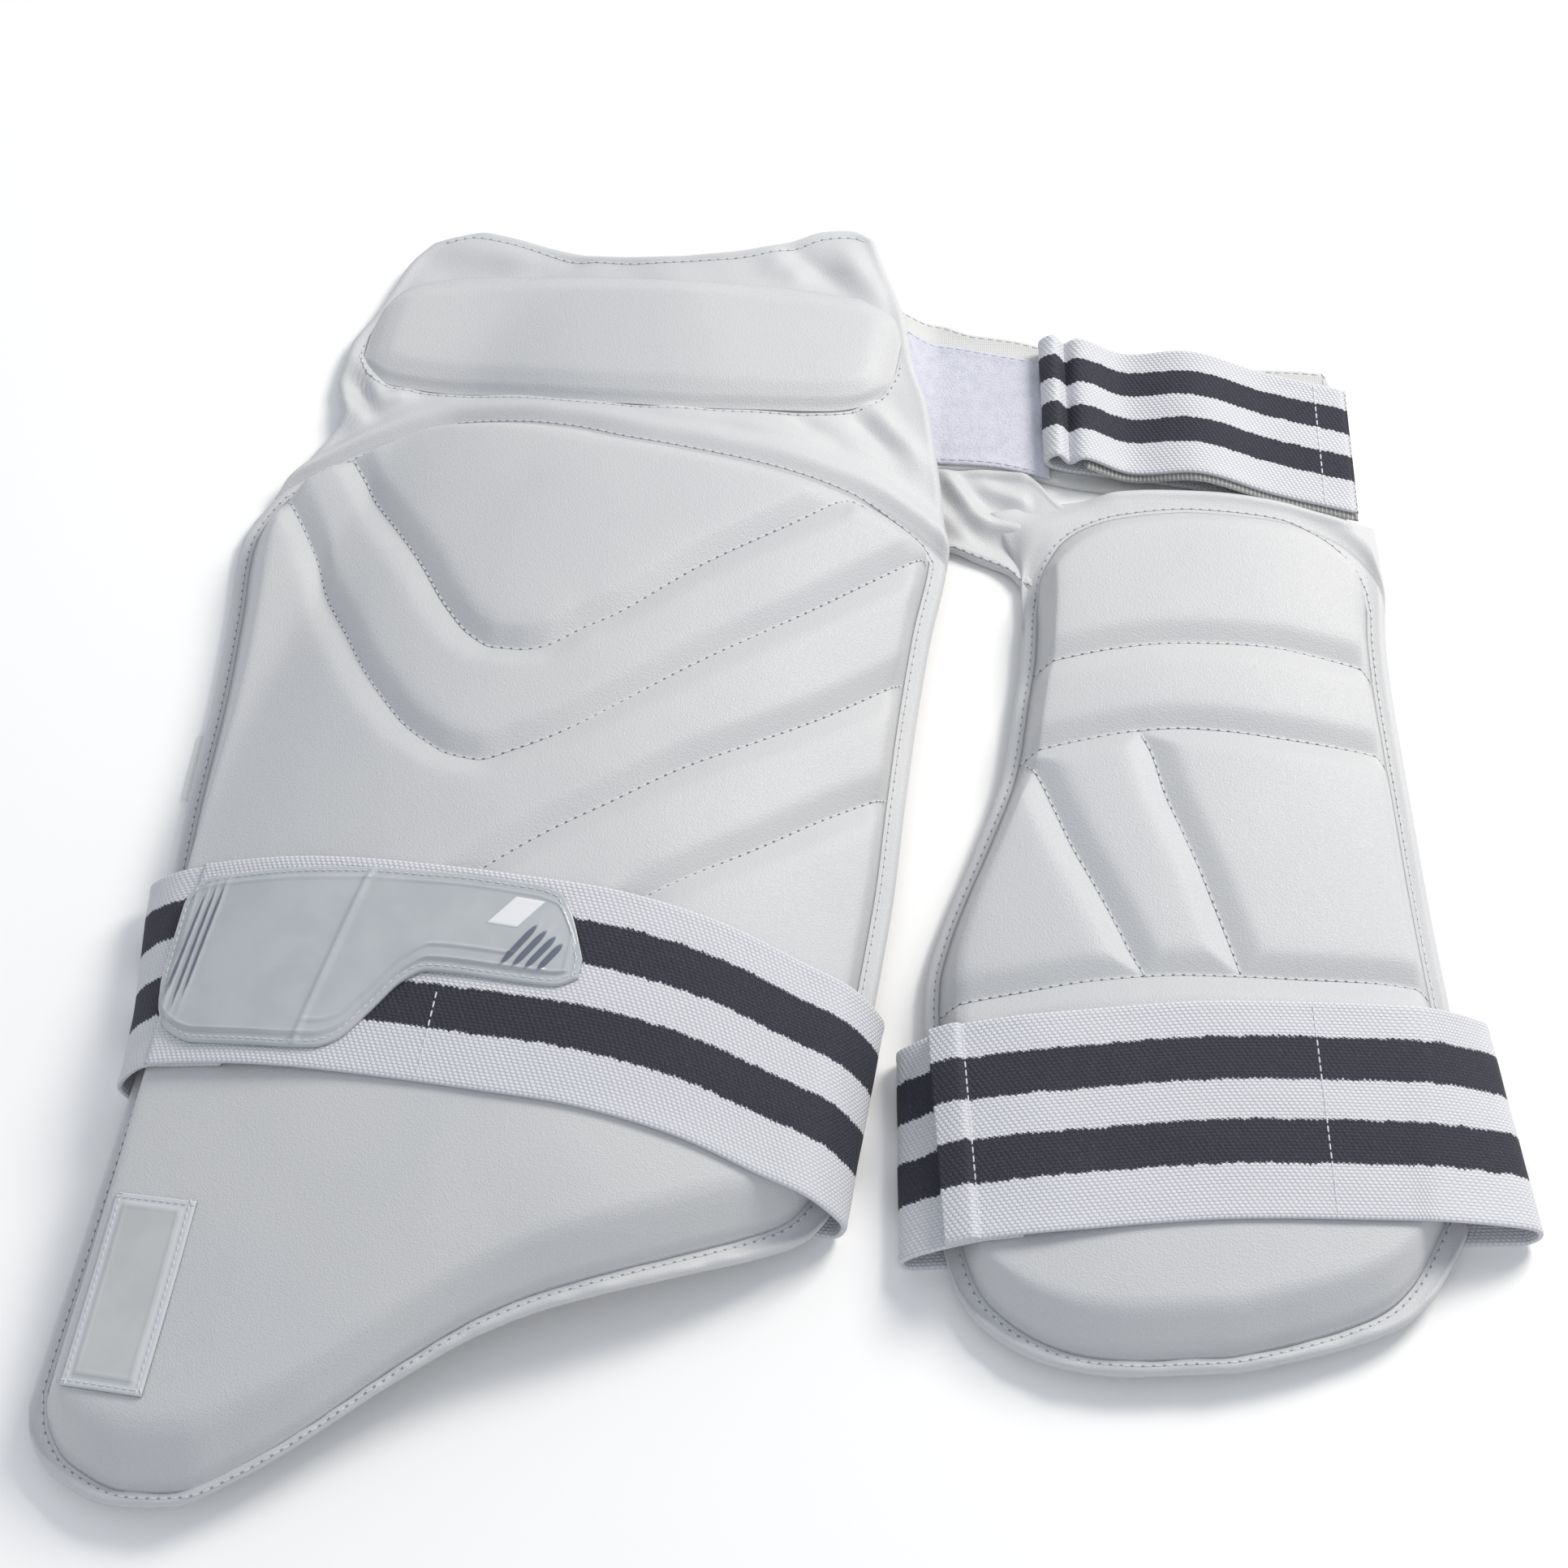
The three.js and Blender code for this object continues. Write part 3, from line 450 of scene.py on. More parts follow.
# %% Helpers for node groups
COLOR, NUMBER = "NodeSocketColor", "NodeSocketFloat"
OUTPUTS = {"Color": COLOR, "Roughness": NUMBER, "Height": NUMBER}


def node_group(name, **inputs):
    """A shader node group that takes the colours and numbers given here with their first
    values, and puts out a colour, a roughness and a height."""
    tree = bpy.data.node_groups.new(name, "ShaderNodeTree")
    for label, value in inputs.items():
        kind = COLOR if isinstance(value, tuple) else NUMBER
        socket = tree.interface.new_socket(name=label, in_out="INPUT", socket_type=kind)
        socket.default_value = value
    for label, kind in OUTPUTS.items():
        tree.interface.new_socket(name=label, in_out="OUTPUT", socket_type=kind)
    return tree, tree.nodes.new("NodeGroupInput").outputs, tree.nodes.new("NodeGroupOutput").inputs


def join(socket, term):
    """Links a node's input to another node's output, or sets it to a value."""
    if isinstance(term, bpy.types.NodeSocket):
        socket.id_data.links.new(term, socket)
    else:
        socket.default_value = term


def feed(node, **terms):
    """Joins a node's inputs by name, each to its term."""
    for label, term in terms.items():
        join(node.inputs[label.replace("_", " ")], term)
    return node


def calc(operation, *terms):
    """The output of a math node on its terms: numbers or sockets, of which one at least is a
    socket and gives the tree."""
    tree = next(term.id_data for term in terms if isinstance(term, bpy.types.NodeSocket))
    node = tree.nodes.new("ShaderNodeMath")
    node.operation = operation
    for socket, term in zip(node.inputs, terms):
        join(socket, term)
    return node.outputs[0]


def times(first, second):
    """The product of two terms."""
    return calc("MULTIPLY", first, second)


def plus(first, second):
    """The sum of two terms."""
    return calc("ADD", first, second)


def half_waves(turn):
    """The size of a sine that has one half wave for each whole turn."""
    return calc("ABSOLUTE", calc("SINE", times(turn, math.pi)))


def ramp(value, low, high, start=0.0, end=1.0):
    """A smooth step of the value from start, at low, to end, at high."""
    node = value.id_data.nodes.new("ShaderNodeMapRange")
    node.interpolation_type = "SMOOTHSTEP"
    feed(node, Value=value, From_Min=low, From_Max=high, To_Min=start, To_Max=end)
    return node.outputs[0]


def two_tone(share, first, second):
    """The first colour where share is 0 and the second where it is 1."""
    node = share.id_data.nodes.new("ShaderNodeMix")
    node.data_type = "RGBA"
    for place, term in ((0, share), (6, first), (7, second)):
        join(node.inputs[place], term)
    return node.outputs[2]


def noise(place, scale, detail=2.0):
    """A cloud texture from 0 to 1, with its scale in waves a metre."""
    node = place.id_data.nodes.new("ShaderNodeTexNoise")
    feed(node, Vector=place, Scale=scale, Detail=detail)
    return node.outputs["Fac"]


def object_place(tree):
    """The place on the piece, in metres."""
    return tree.nodes.new("ShaderNodeTexCoord").outputs["Object"]


def cloth_place(tree):
    """The two parts of the piece's own uv map."""
    cloth = tree.nodes.new("ShaderNodeUVMap")
    cloth.uv_map = "cloth"
    parts = tree.nodes.new("ShaderNodeSeparateXYZ")
    join(parts.inputs[0], cloth.outputs[0])
    return parts.outputs["X"], parts.outputs["Y"]


def put_out(sockets, *values):
    """Gives a group its three outputs: colour, roughness and height."""
    for label, value in zip(OUTPUTS, values):
        join(sockets[label], value)


# %% Leather grain
def leather_grain():
    """Sand grain: small round cells with noise on them, and slow clouds of tone."""
    colors = {"Light": (1, 1, 1, 1), "Shade": (0.8, 0.8, 0.8, 1)}
    tree, given, out = node_group("leather_grain", **colors, Cells=1500)
    place = object_place(tree)
    cells = tree.nodes.new("ShaderNodeTexVoronoi")
    feed(cells, Vector=place, Scale=given["Cells"])
    sand = noise(place, times(given["Cells"], 1.9), 3.0)
    cloud = noise(place, 14.0)
    speck = times(ramp(sand, 0.38, 0.66), 0.4)
    tone = plus(times(ramp(cloud, 0.35, 0.65), 0.45), speck)
    color = two_tone(tone, given["Light"], given["Shade"])
    roughness = ramp(sand, 0.3, 0.7, 0.4, 0.56)
    height = plus(times(cells.outputs["Distance"], 0.8), sand)
    put_out(out, color, roughness, height)
    return tree


# %% Striped elastic
STRIPES = (0.73, 0.345)
STRIPE_HALF = 0.1
STRIPE_SOFT = 0.004
KNIT_ROW = 0.00115
KNIT_LENGTH = 0.0018


def striped_elastic():
    """Knitted elastic: staggered stitches in rows along the webbing, and two stripes whose
    edges step in and out with the stitches."""
    tree, given, out = node_group(
        "striped_elastic", Width=0.075,
        Ground=(0.725, 0.725, 0.745, 1), Valley=(0.55, 0.55, 0.59, 1),
        Stripe=(0.026, 0.027, 0.038, 1), Fleck=(0.07, 0.07, 0.09, 1),
    )
    along, share = cloth_place(tree)
    rows = calc("DIVIDE", times(share, given["Width"]), KNIT_ROW)
    step = times(calc("FLOOR", rows), 0.37)
    turn = plus(calc("DIVIDE", along, KNIT_LENGTH), step)
    ridge = half_waves(turn)
    strand = half_waves(rows)
    knit = times(calc("POWER", strand, 0.5), ridge)
    place = object_place(tree)
    fuzz = noise(place, 2600.0)
    saw = calc("ABSOLUTE", calc("SUBTRACT", calc("FRACT", turn), 0.5))
    wander = times(calc("SUBTRACT", noise(place, 300.0), 0.5), 0.03)
    edge = plus(plus(share, times(saw, 0.022)), wander)
    masks = []
    for centre in STRIPES:
        off = calc("ABSOLUTE", calc("SUBTRACT", edge, centre + 0.005))
        masks.append(ramp(off, STRIPE_HALF - STRIPE_SOFT, STRIPE_HALF + STRIPE_SOFT, 1.0, 0.0))
    dark = calc("MAXIMUM", *masks)
    # The colour is darker in the valleys between the stitches: painted shade.
    deep = calc("SUBTRACT", 1.0, knit)
    white = two_tone(times(deep, 0.7), given["Ground"], given["Valley"])
    navy = two_tone(ramp(fuzz, 0.45, 0.75), given["Stripe"], given["Fleck"])
    height = plus(knit, times(fuzz, 0.5))
    put_out(out, two_tone(dark, white, navy), ramp(fuzz, 0.2, 0.8, 0.75, 0.95), height)
    return tree


# %% Plain weave and pile
def plain_weave():
    """Over and under threads: the product of two sines over the piece's own map."""
    tree, given, out = node_group(
        "plain_weave", Pitch=0.0012, Thread=(0.66, 0.66, 0.645, 1), Valley=(0.59, 0.59, 0.565, 1)
    )
    waves = []
    for part in cloth_place(tree):
        waves.append(calc("SINE", times(calc("DIVIDE", part, given["Pitch"]), math.pi)))
    weave = calc("ABSOLUTE", times(*waves))
    place = object_place(tree)
    fuzz = noise(place, 1800.0)
    # The colour is darker where the threads dip under each other: painted shade.
    deep = times(calc("SUBTRACT", 1.0, weave), plus(fuzz, 0.2))
    color = two_tone(deep, given["Thread"], given["Valley"])
    height = plus(weave, times(fuzz, 0.4))
    put_out(out, color, ramp(fuzz, 0.2, 0.8, 0.7, 0.9), height)
    return tree


def brushed_pile():
    """Brushed loops: fine noise stretched by coarse noise, darker between the loops, which is painted
    shade.
    """
    tree, given, out = node_group("brushed_pile", Tip=(0.63, 0.63, 0.7, 1), Root=(0.54, 0.54, 0.62, 1))
    place = object_place(tree)
    fine = noise(place, 1500.0, 4.0)
    coarse = noise(place, 240.0, 3.0)
    both = plus(times(fine, 0.6), times(coarse, 0.4))
    color = two_tone(ramp(both, 0.58, 0.36), given["Tip"], given["Root"])
    put_out(out, color, ramp(fine, 0.2, 0.8, 0.85, 1.0), both)
    return tree


# %% Moulded plate
def moulded_plate():
    """Clear moulded plate over cloth. Its mask called trace is near 1 on the printed lines and near -1
    where the
    brightest colour goes: a painted highlight on the strap's badge, and the white border of the tail's
    patch.
    Slow noise clouds the rest."""
    tree, given, out = node_group(
        "moulded_plate",
        Plate=(0.44, 0.46, 0.475, 1), Cloudy=(0.48, 0.495, 0.51, 1),
        Line=(0.12, 0.14, 0.18, 1), Foil=(0.78, 0.78, 0.78, 1),
    )
    mask = tree.nodes.new("ShaderNodeAttribute")
    mask.attribute_name = "trace"
    place = object_place(tree)
    cloud = noise(place, 60.0, 3.0)
    body = two_tone(ramp(cloud, 0.35, 0.65), given["Plate"], given["Cloudy"])
    lined = two_tone(ramp(mask.outputs["Fac"], 0.35, 0.6), body, given["Line"])
    # Where trace is near -1 the colour is the brightest one: a painted highlight on the strap's badge,
    # and the white border on the tail's patch.
    color = two_tone(ramp(mask.outputs["Fac"], -0.6, -0.3, 1.0, 0.0), lined, given["Foil"])
    put_out(out, color, ramp(cloud, 0.3, 0.7, 0.14, 0.26), cloud)
    return tree


# %% Materials made from the groups
def finish(name, tree, bump, shine=None, **values):
    """A material whose colour, roughness and bump come from a node group. The bump is its
    height in metres, the shine sets sockets of the shader, and the values go to the group."""
    material = bpy.data.materials.new(name)
    material.use_nodes = True
    inside = material.node_tree
    shader = inside.nodes["Principled BSDF"]
    group = inside.nodes.new("ShaderNodeGroup")
    group.node_tree = tree
    for label, value in values.items():
        group.inputs[label].default_value = value
    for label, value in (shine or {}).items():
        shader.inputs[label].default_value = value
    relief = inside.nodes.new("ShaderNodeBump")
    relief.inputs["Distance"].default_value = bump
    join(shader.inputs["Base Color"], group.outputs["Color"])
    join(shader.inputs["Roughness"], group.outputs["Roughness"])
    join(relief.inputs["Height"], group.outputs["Height"])
    join(shader.inputs["Normal"], relief.outputs["Normal"])
    return material


def fine_weave(name, color, valley_shade):
    """A weave too fine to see, for threads and for the dark marks of the needle holes, which are painted
    shadow.
    """
    return finish(name, weave, 0.0001, Pitch=0.0005, Thread=color, Valley=valley_shade)


grain, elastic, weave = leather_grain(), striped_elastic(), plain_weave()
pile, plate = brushed_pile(), moulded_plate()
face_leather = finish(
    "face_leather", grain, 0.00013, {"Sheen Weight": 0.06},
    Light=(0.59, 0.587, 0.584, 1), Shade=(0.525, 0.532, 0.545, 1),
)
panel_leather = finish(
    "panel_leather", grain, 0.0001, {"Sheen Weight": 0.08},
    Light=(0.61, 0.608, 0.608, 1), Shade=(0.54, 0.547, 0.56, 1), Cells=1800,
)
thigh_elastic = finish("thigh_elastic", elastic, 0.00033)
waist_elastic = finish("waist_elastic", elastic, 0.00033, Width=0.056)
belt_weave = finish("belt_weave", weave, 0.0001, Pitch=0.0008)
hook_weave = finish("hook_weave", weave, 0.0003, Pitch=0.0016)
label_weave = finish(
    "label_weave", weave, 0.0001, Pitch=0.0006, Thread=(0.85, 0.85, 0.83, 1), Valley=(0.7, 0.7, 0.68, 1)
)
loop_pile_cloth = finish("loop_pile_cloth", pile, 0.0007)
# This plate keeps the group's pale default for its brightest colour, a painted highlight on the badge's
# raised facet.
clear_plate = finish("clear_plate", plate, 0.0002, {"Coat Weight": 0.6, "Coat Roughness": 0.06})
patch_plate = finish(
    "patch_plate", plate, 0.0002, {"Coat Weight": 0.4},
    Plate=(0.5, 0.51, 0.505, 1), Cloudy=(0.54, 0.55, 0.545, 1), Foil=(0.6, 0.61, 0.62, 1),
)
thread = fine_weave("thread", (0.78, 0.79, 0.8, 1), (0.62, 0.64, 0.66, 1))
# The needle holes are flat dark marks on the surface: painted shadow, softer on the panels than in the
# face's seams.
needle_hole_shadow = fine_weave("needle_hole_shadow", (0.22, 0.23, 0.25, 1), (0.15, 0.16, 0.18, 1))
soft_hole_shadow = fine_weave("soft_hole_shadow", (0.36, 0.37, 0.385, 1), (0.3, 0.31, 0.325, 1))
print("materials", [material.name for material in bpy.data.materials])


# %% Putting a piece in place
def grow(piece, slot_name, material, *nodes):
    """Puts a finished piece on its body, gives it its material, and hides the CAD
    nodes that it stands for. Its slot name is not used."""
    piece.data.materials.append(material)
    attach(piece, BODY)
    if nodes:
        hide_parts(*nodes)
    print(piece.name, len(piece.data.polygons), "faces")
    return piece


# %% [markdown]
# ## Stitches
# All seams are lockstitch, about seven stitches to the inch. A stitch shows as a short plump thread
# between two needle holes, and each hole is a flat dark mark on the surface, a painted shadow. Each
# row is worked out as arrays: the row's line is cut at even steps, and one small spindle is copied to
# every step.

# %% Rows of stitches
SEAM_PITCH = 3.4
THREAD_WIDE = 0.55
SPINDLE = {"along": (-1, -0.6, 0.6, 1), "round": (0.4, 1, 1, 0.4), "sides": 6}
# A needle hole is a flat dark mark, a painted shadow, laid on the surface between two threads.
HOLE_SHADOW_FORM = {"along": (-1, 0, 1), "round": (0.5, 1, 0.5), "sides": 4}
HOLE_SHADOW_SIZE = (1.15, 0.75, 0.22)
BELT_STITCH = (2.4, 0.5, 0.3)


def resample(points, pitch, start=0.5):
    """Places at even steps along a polyline, with the unit tangent at each."""
    steps = np.linalg.norm(np.diff(points, axis=0), axis=1)
    along = np.concatenate([[0], np.cumsum(steps)])
    count = max(2, int(along[-1] / pitch))
    stops = (np.arange(count) + start) * along[-1] / count
    near = 0.3
    pick = [np.interp(stops + shift, along, points[:, k]) for shift in (0, -near, near) for k in range(3)]
    here, before, after = np.stack(pick, -1).reshape(count, 3, 3).transpose(1, 0, 2)
    return here, unit(after - before)


def spindles(form, here, tangent, normal, size):
    """Points and quads of one small spindle at each place: rings along the tangent, closed
    at both ends. Size is its length, width and height."""
    along = np.array(form["along"])[:, None]
    radius = np.array(form["round"])[:, None]
    sides = form["sides"]
    angle = np.arange(sides)[None, :] * 2 * math.pi / sides
    length, width, height_up = size
    wide, high = radius * np.cos(angle) * width / 2, radius * np.sin(angle) * height_up
    local = np.stack([along * length / 2 + 0 * angle, wide, high], -1).reshape(-1, 3)
    side_way = np.cross(normal, tangent)
    frame_axes = np.stack([tangent, side_way, normal], 1)
    points = here[:, None] + np.einsum("pk,nkc->npc", local, frame_axes)
    ring = np.arange(len(form["along"]) * sides).reshape(-1, sides)
    beyond = np.roll(ring, -1, axis=1)
    walls = np.stack([ring[:-1], ring[1:], beyond[1:], beyond[:-1]], -1).reshape(-1, 4)[:, ::-1]
    caps = [(0, k, k + 1, k + 2) for k in range(1, sides - 2, 2)]
    last = ring[-1, 0]
    ends = [tuple(reversed(cap)) for cap in caps] + [tuple(last + k for k in cap) for cap in caps]
    template = np.concatenate([walls, np.array(ends)[:, ::-1]])
    shift = (np.arange(len(here)) * len(local))[:, None, None]
    return points.reshape(-1, 3), (template[None] + shift).reshape(-1, 4)


def stitch_rows(name, rows, slot_name, size=(2.5, THREAD_WIDE, 0.3), hole_shadow=None, pitch=SEAM_PITCH):
    """One mesh of threads for several rows, each given as its line of points and its normals,
    and one of flat dark marks for the needle holes, a painted shadow, where their material is given."""
    for kind, form, start, form_size, material in (
        ("threads", SPINDLE, 0.5, size, thread),
        ("hole_shadows", HOLE_SHADOW_FORM, 0, HOLE_SHADOW_SIZE, hole_shadow),
    ):
        if material is None:
            continue
        points, quads, count = [], [], 0
        for line, normals in rows:
            here, tangent = resample(line, pitch, start)
            nearest = np.linalg.norm(line[None] - here[:, None], axis=-1).argmin(1)
            normal = normals[nearest]
            normal = unit(normal - tangent * (normal * tangent).sum(1, keepdims=True))
            spots, faces = spindles(form, here, tangent, normal, form_size)
            points.append(spots)
            quads.append(faces + count)
            count += len(spots)
        points = np.concatenate(points)
        piece = finish_mesh(name + "_" + kind, points, np.concatenate(quads), points[:, :2] * MM)
        grow(piece, slot_name, material)


def row_on(g, u, v, off):
    """A row of stitches over a guard: its line and its normals, at off from the panel."""
    u, v = np.broadcast_arrays(u, v)
    line = point(g, u, v, off)
    return line, point(g, u, v, off + 1) - line


def beside(u, v, gap):
    """The border of a grid of u and v, walked anticlockwise and moved outwards by gap."""
    walk = [(grid[:, 0], grid[-1, 1:], grid[-2::-1, -1], grid[0, -2::-1]) for grid in (u, v)]
    line = np.stack([np.concatenate(part) for part in walk], -1)
    ahead = unit(np.roll(line, -3, 0) - np.roll(line, 3, 0))
    return line[:, 0] + gap * ahead[:, 1], line[:, 1] - gap * ahead[:, 0]


# %% [markdown]
# ## Moulded foam faces
# The front of each guard is one sheet of foam, pressed in a hot mould under its cover. The mould
# leaves flat fields with soft shoulders, and a sharp valley where the cover is stitched down. Cloth
# simulation would blur these valleys, so the faces are height fields instead. The grid's rows follow
# the seams and its columns follow the ribs, so that each valley is one clean line.


# %% Columns and rows that follow the seams
SETTLE_ROUNDS = 8


def between(keys, steps):
    """The last axis's keys with each stretch cut into its number of steps."""
    parts = [
        keys[..., k, None] + (keys[..., k + 1, None] - keys[..., k, None]) * np.arange(n) / n
        for k, n in enumerate(steps)
    ]
    return np.concatenate(parts + [keys[..., -1:]], -1)


def columns_at(g, v, steps):
    """Shares across at each v, one column each: both bevels, every rib with its shoulders,
    and even steps between. The shape of the result is v's with one more axis."""
    start = face_spot(g, 0, v)
    across = face_spot(g, 1, v) - start
    edge = EDGE_BEVEL / across
    keys = [0 * v, edge]
    for rib in g["ribs"]:
        centre = (read(rib, "across", v / g["length"]) * g["width"] - start) / across
        keys += [centre - GROOVE_HALF / across, centre, centre + GROOVE_HALF / across]
    keys += [1 - edge, 1 + 0 * v]
    least = 0.004 * np.arange(len(keys))
    keys = np.maximum.accumulate(np.stack(keys, -1) - least, axis=-1) + least
    return between(keys, steps)


def rows_of(g, column_steps, row_steps):
    """Places along each column: foot, bevel, every seam with its shoulders, bevel and top. A
    seam that would leave the face is pressed against its edge."""
    count = sum(column_steps) + 1
    pick = np.arange(count)

    def share(v):
        """Share across of each column at its own place v."""
        return columns_at(g, v, column_steps)[pick, pick]

    def settle(place):
        """The place on each column, where the column's share across depends on the place."""
        v = np.zeros(count)
        for _ in range(SETTLE_ROUNDS):
            v = place(share(v), v)
        return v

    low = settle(lambda s, v: line_at(g, "foot", s) + LIP_FOOT)
    high = settle(lambda s, v: line_at(g, "face_top", s))
    keys = [low, low + EDGE_BEVEL]
    for seam in g["seams"]:
        v = settle(lambda s, was: read(seam, "along", face_spot(g, s, was) / g["width"]) * g["length"])
        shoulder = 1.2 * GROOVE_HALF
        keys += [v - shoulder, v, v + shoulder]
    keys += [high - EDGE_BEVEL, high]
    least = 0.5
    for k in range(1, len(keys)):
        keys[k] = np.maximum(keys[k], keys[k - 1] + least)
    keys[-1] = high
    for k in range(len(keys) - 2, -1, -1):
        keys[k] = np.minimum(keys[k], keys[k + 1] - least)
    return between(np.stack(keys, -1), row_steps)


# %% Height of the foam
SEAM_DEPTH = 0.32
TOP_SLOPE = 13
SEAM_SHIFT = 4.3
for g in (OUTER, INNER):
    for seam in g["seams"]:
        seam["rows"][:, 1] -= SEAM_SHIFT / g["length"]
    for rib in g["ribs"]:
        rib["rows"][:, 0] -= SEAM_SHIFT / g["length"]
print("the seams move", SEAM_SHIFT, "mm towards the foot, as their valleys are shallow")


def line_distance(across, along, tab, names, scale, slack):
    """Distance to a seam's line, allowing for its slope, and past its ends by more than slack."""
    first, second = names
    keys = tab["rows"][:, 0] * scale[0]

    def line(x):
        """The seam's own place at x."""
        return read(tab, second, x / scale[0]) * scale[1]

    slope = (line(across + 1) - line(across - 1)) / 2
    past = np.maximum(0, np.maximum(keys[0] - across, across - keys[-1] - slack))
    return np.hypot((along - line(across)) / np.hypot(1, slope), past)


def edge_of(g, u, v, low, high, left=0, right=0):
    """Distance to the nearest edge of the panel, or of what is inset on it at both sides."""
    return border_gap(u, v, side(g, v, "left", left), side(g, v, "right", -right), low, high)


def face_height(g, u, v, low, high):
    """Thickness of the foam over its seat: a bevel down to the thin border, which is broad
    at the foot and at the top, and on it the valleys of the seams, which are less deep."""
    ends = soft_min((v - low) / g["foot_slope"], (high - v) / TOP_SLOPE, 0.1)
    edge = np.maximum(edge_of(g, u, v, low, high, LIP_SIDE, LIP_FAR), 0)
    bevel = soft_min(edge / EDGE_BEVEL, ends, 0.1)
    bevel = np.clip(soft_min(bevel, 1 + 0 * bevel, 0.1), 0, 1)
    near = 2 + 0 * u
    scale = (g["width"], g["length"])
    for seam in g["seams"]:
        away = line_distance(u, v, seam, ("across", "along"), scale, LIP_FAR)
        near = soft_min(near, away / GROOVE_HALF, 0.1)
    for rib in g["ribs"]:
        away = line_distance(v, u, rib, ("along", "across"), scale[::-1], 0)
        near = soft_min(near, away / GROOVE_HALF, 0.1)
    near = np.clip(soft_min(near, 1 + 0 * near, 0.24), 0, 1)
    return SEAM_FOAM + (g["foam"] - SEAM_FOAM) * bevel * (1 - SEAM_DEPTH * (1 - near))


# %% Foam face
def foam_face(name, g, column_steps, row_steps, seed):
    """The moulded face of a guard as a closed shell on its carrier, with its u and v."""
    v = rows_of(g, column_steps, row_steps)
    columns = np.arange(v.shape[0])[:, None]
    s = columns_at(g, v, column_steps)[columns, np.arange(v.shape[1])[None, :], columns]
    u = face_spot(g, s, v)
    low, high = v[:, :1], v[:, -1:]
    thick = face_height(g, u, v, low, high)
    thick = thick + 0.25 * (thick / g["foam"]) * ripple(u, v, (61, 83, 107, 43), seed)
    thick = thinned(thick, edge_of(g, u, v, low, high, LIP_SIDE, LIP_FAR), 3.5)
    return raised(name, g, u, v, FACE_SEAT, thick)


OUTER["foot_slope"] = 17
INNER["foot_slope"] = 14
outer_face, outer_u, outer_v = foam_face(
    "outer_face", OUTER, (7, 132, 7), (8, 36, 8, 8, 11, 8, 8, 27, 8, 8, 15, 8, 8, 28, 8), seed=3
)
grow(outer_face, "face_leather", face_leather, "outer_pad")
inner_face, inner_u, inner_v = foam_face(
    "inner_face",
    INNER,
    (6, 12, 7, 7, 12, 7, 7, 44, 6),
    (8, 44, 8, 8, 42, 8, 8, 12, 8, 8, 24, 8),
    seed=5,
)
grow(inner_face, "face_leather", face_leather, "inner_pad")


# %% Stitches in the seams
def valley_row(g, u, v):
    """A row of stitches on the foam's surface, where it lies inside the face."""
    start = face_spot(g, 0, v)
    s = (u - start) / (face_spot(g, 1, v) - start)
    low = line_at(g, "foot", s) + LIP_FOOT
    high = line_at(g, "face_top", s)
    inside = (s > 0.006) & (s < 0.994) & (v < high - 1)
    thick = face_height(g, u, v, low, high) + CARRIER_THICK / 2 + PIECE_GAP / 2
    return row_on(g, u[inside], v[inside], thick[inside] + 0.12)


def seam_rows(g):
    """Rows of stitches in the valleys: each seam across the face and each rib along it."""
    rows = []
    for seam in g["seams"]:
        u = np.linspace(seam["rows"][0, 0], seam["rows"][-1, 0] + 0.03, 200) * g["width"]
        rows.append(valley_row(g, u, read(seam, "along", u / g["width"]) * g["length"]))
    for rib in g["ribs"]:
        v = np.linspace(rib["rows"][0, 0], rib["rows"][-1, 0] - 0.004, 120) * g["length"]
        rows.append(valley_row(g, read(rib, "across", v / g["length"]) * g["width"], v))
    return rows


for name, g in (("outer_seam", OUTER), ("inner_seam", INNER)):
    stitch_rows(name, seam_rows(g), "face_leather", hole_shadow=needle_hole_shadow)

# %% [markdown]
# ## Carriers
# The panel behind each face is thin cloth-backed leather. It shows as a puffed lip round the face
# and as the hip panel, where it is soft enough to fold. Each fold is a short ridge or valley, given
# by its two ends, its width and its height, and it fades out towards both ends. Above the face the
# panel is padded into a round welt, which follows the face's upper edge.

# %% Folds of the panels
OUTER_FOLDS = table("from_u from_v to_u to_v wide high", [
    (-0.462, 0.497, -0.416, 0.47, 0.013, 2.4), (-0.43, 0.461, -0.375, 0.474, 0.013, 2.6),
    (-0.452, 0.483, -0.42, 0.46, 0.012, -2.4), (-0.47, 0.462, -0.425, 0.444, 0.016, 2.4),
    (-0.25, 0.594, -0.17, 0.614, 0.022, -2.6), (-0.38, 0.612, -0.2, 0.605, 0.03, 2.8),
    (0.13, 0.634, 0.225, 0.606, 0.02, -2.2), (0.206, 0.643, 0.277, 0.599, 0.024, 2.4),
    (0.1, 0.625, 0.16, 0.612, 0.03, 2.2), (0.277, 0.491, 0.341, 0.468, 0.016, -2.0),
    (0.296, 0.502, 0.37, 0.466, 0.018, 2.3), (0.02, 0.464, 0.27, 0.463, 0.016, 1.8),
    (0.2, 0.476, 0.27, 0.462, 0.016, -1.8), (0.35, 0.54, 0.39, 0.46, 0.03, 2.0),
])
INNER_FOLDS = table("from_u from_v to_u to_v wide high", [
    (-0.27, 0.745, -0.17, 0.67, 0.05, 2.2), (-0.2, 0.745, -0.1, 0.722, 0.035, -1.2),
    (0.38, 0.73, 0.48, 0.66, 0.05, 1.8), (0.44, 0.64, 0.49, 0.56, 0.035, 1.2),
    (-0.29, 0.7, -0.22, 0.6, 0.04, 1.4),
])
WELT = {"out": 8, "wide": 6.2, "high": 3.4}
LIP_BEAD = {"in": 2.4, "wide": 1.8, "high": 0.7}
TIP_DIP = {"round": 16, "start": -3, "over": 14, "deep": 4.4}


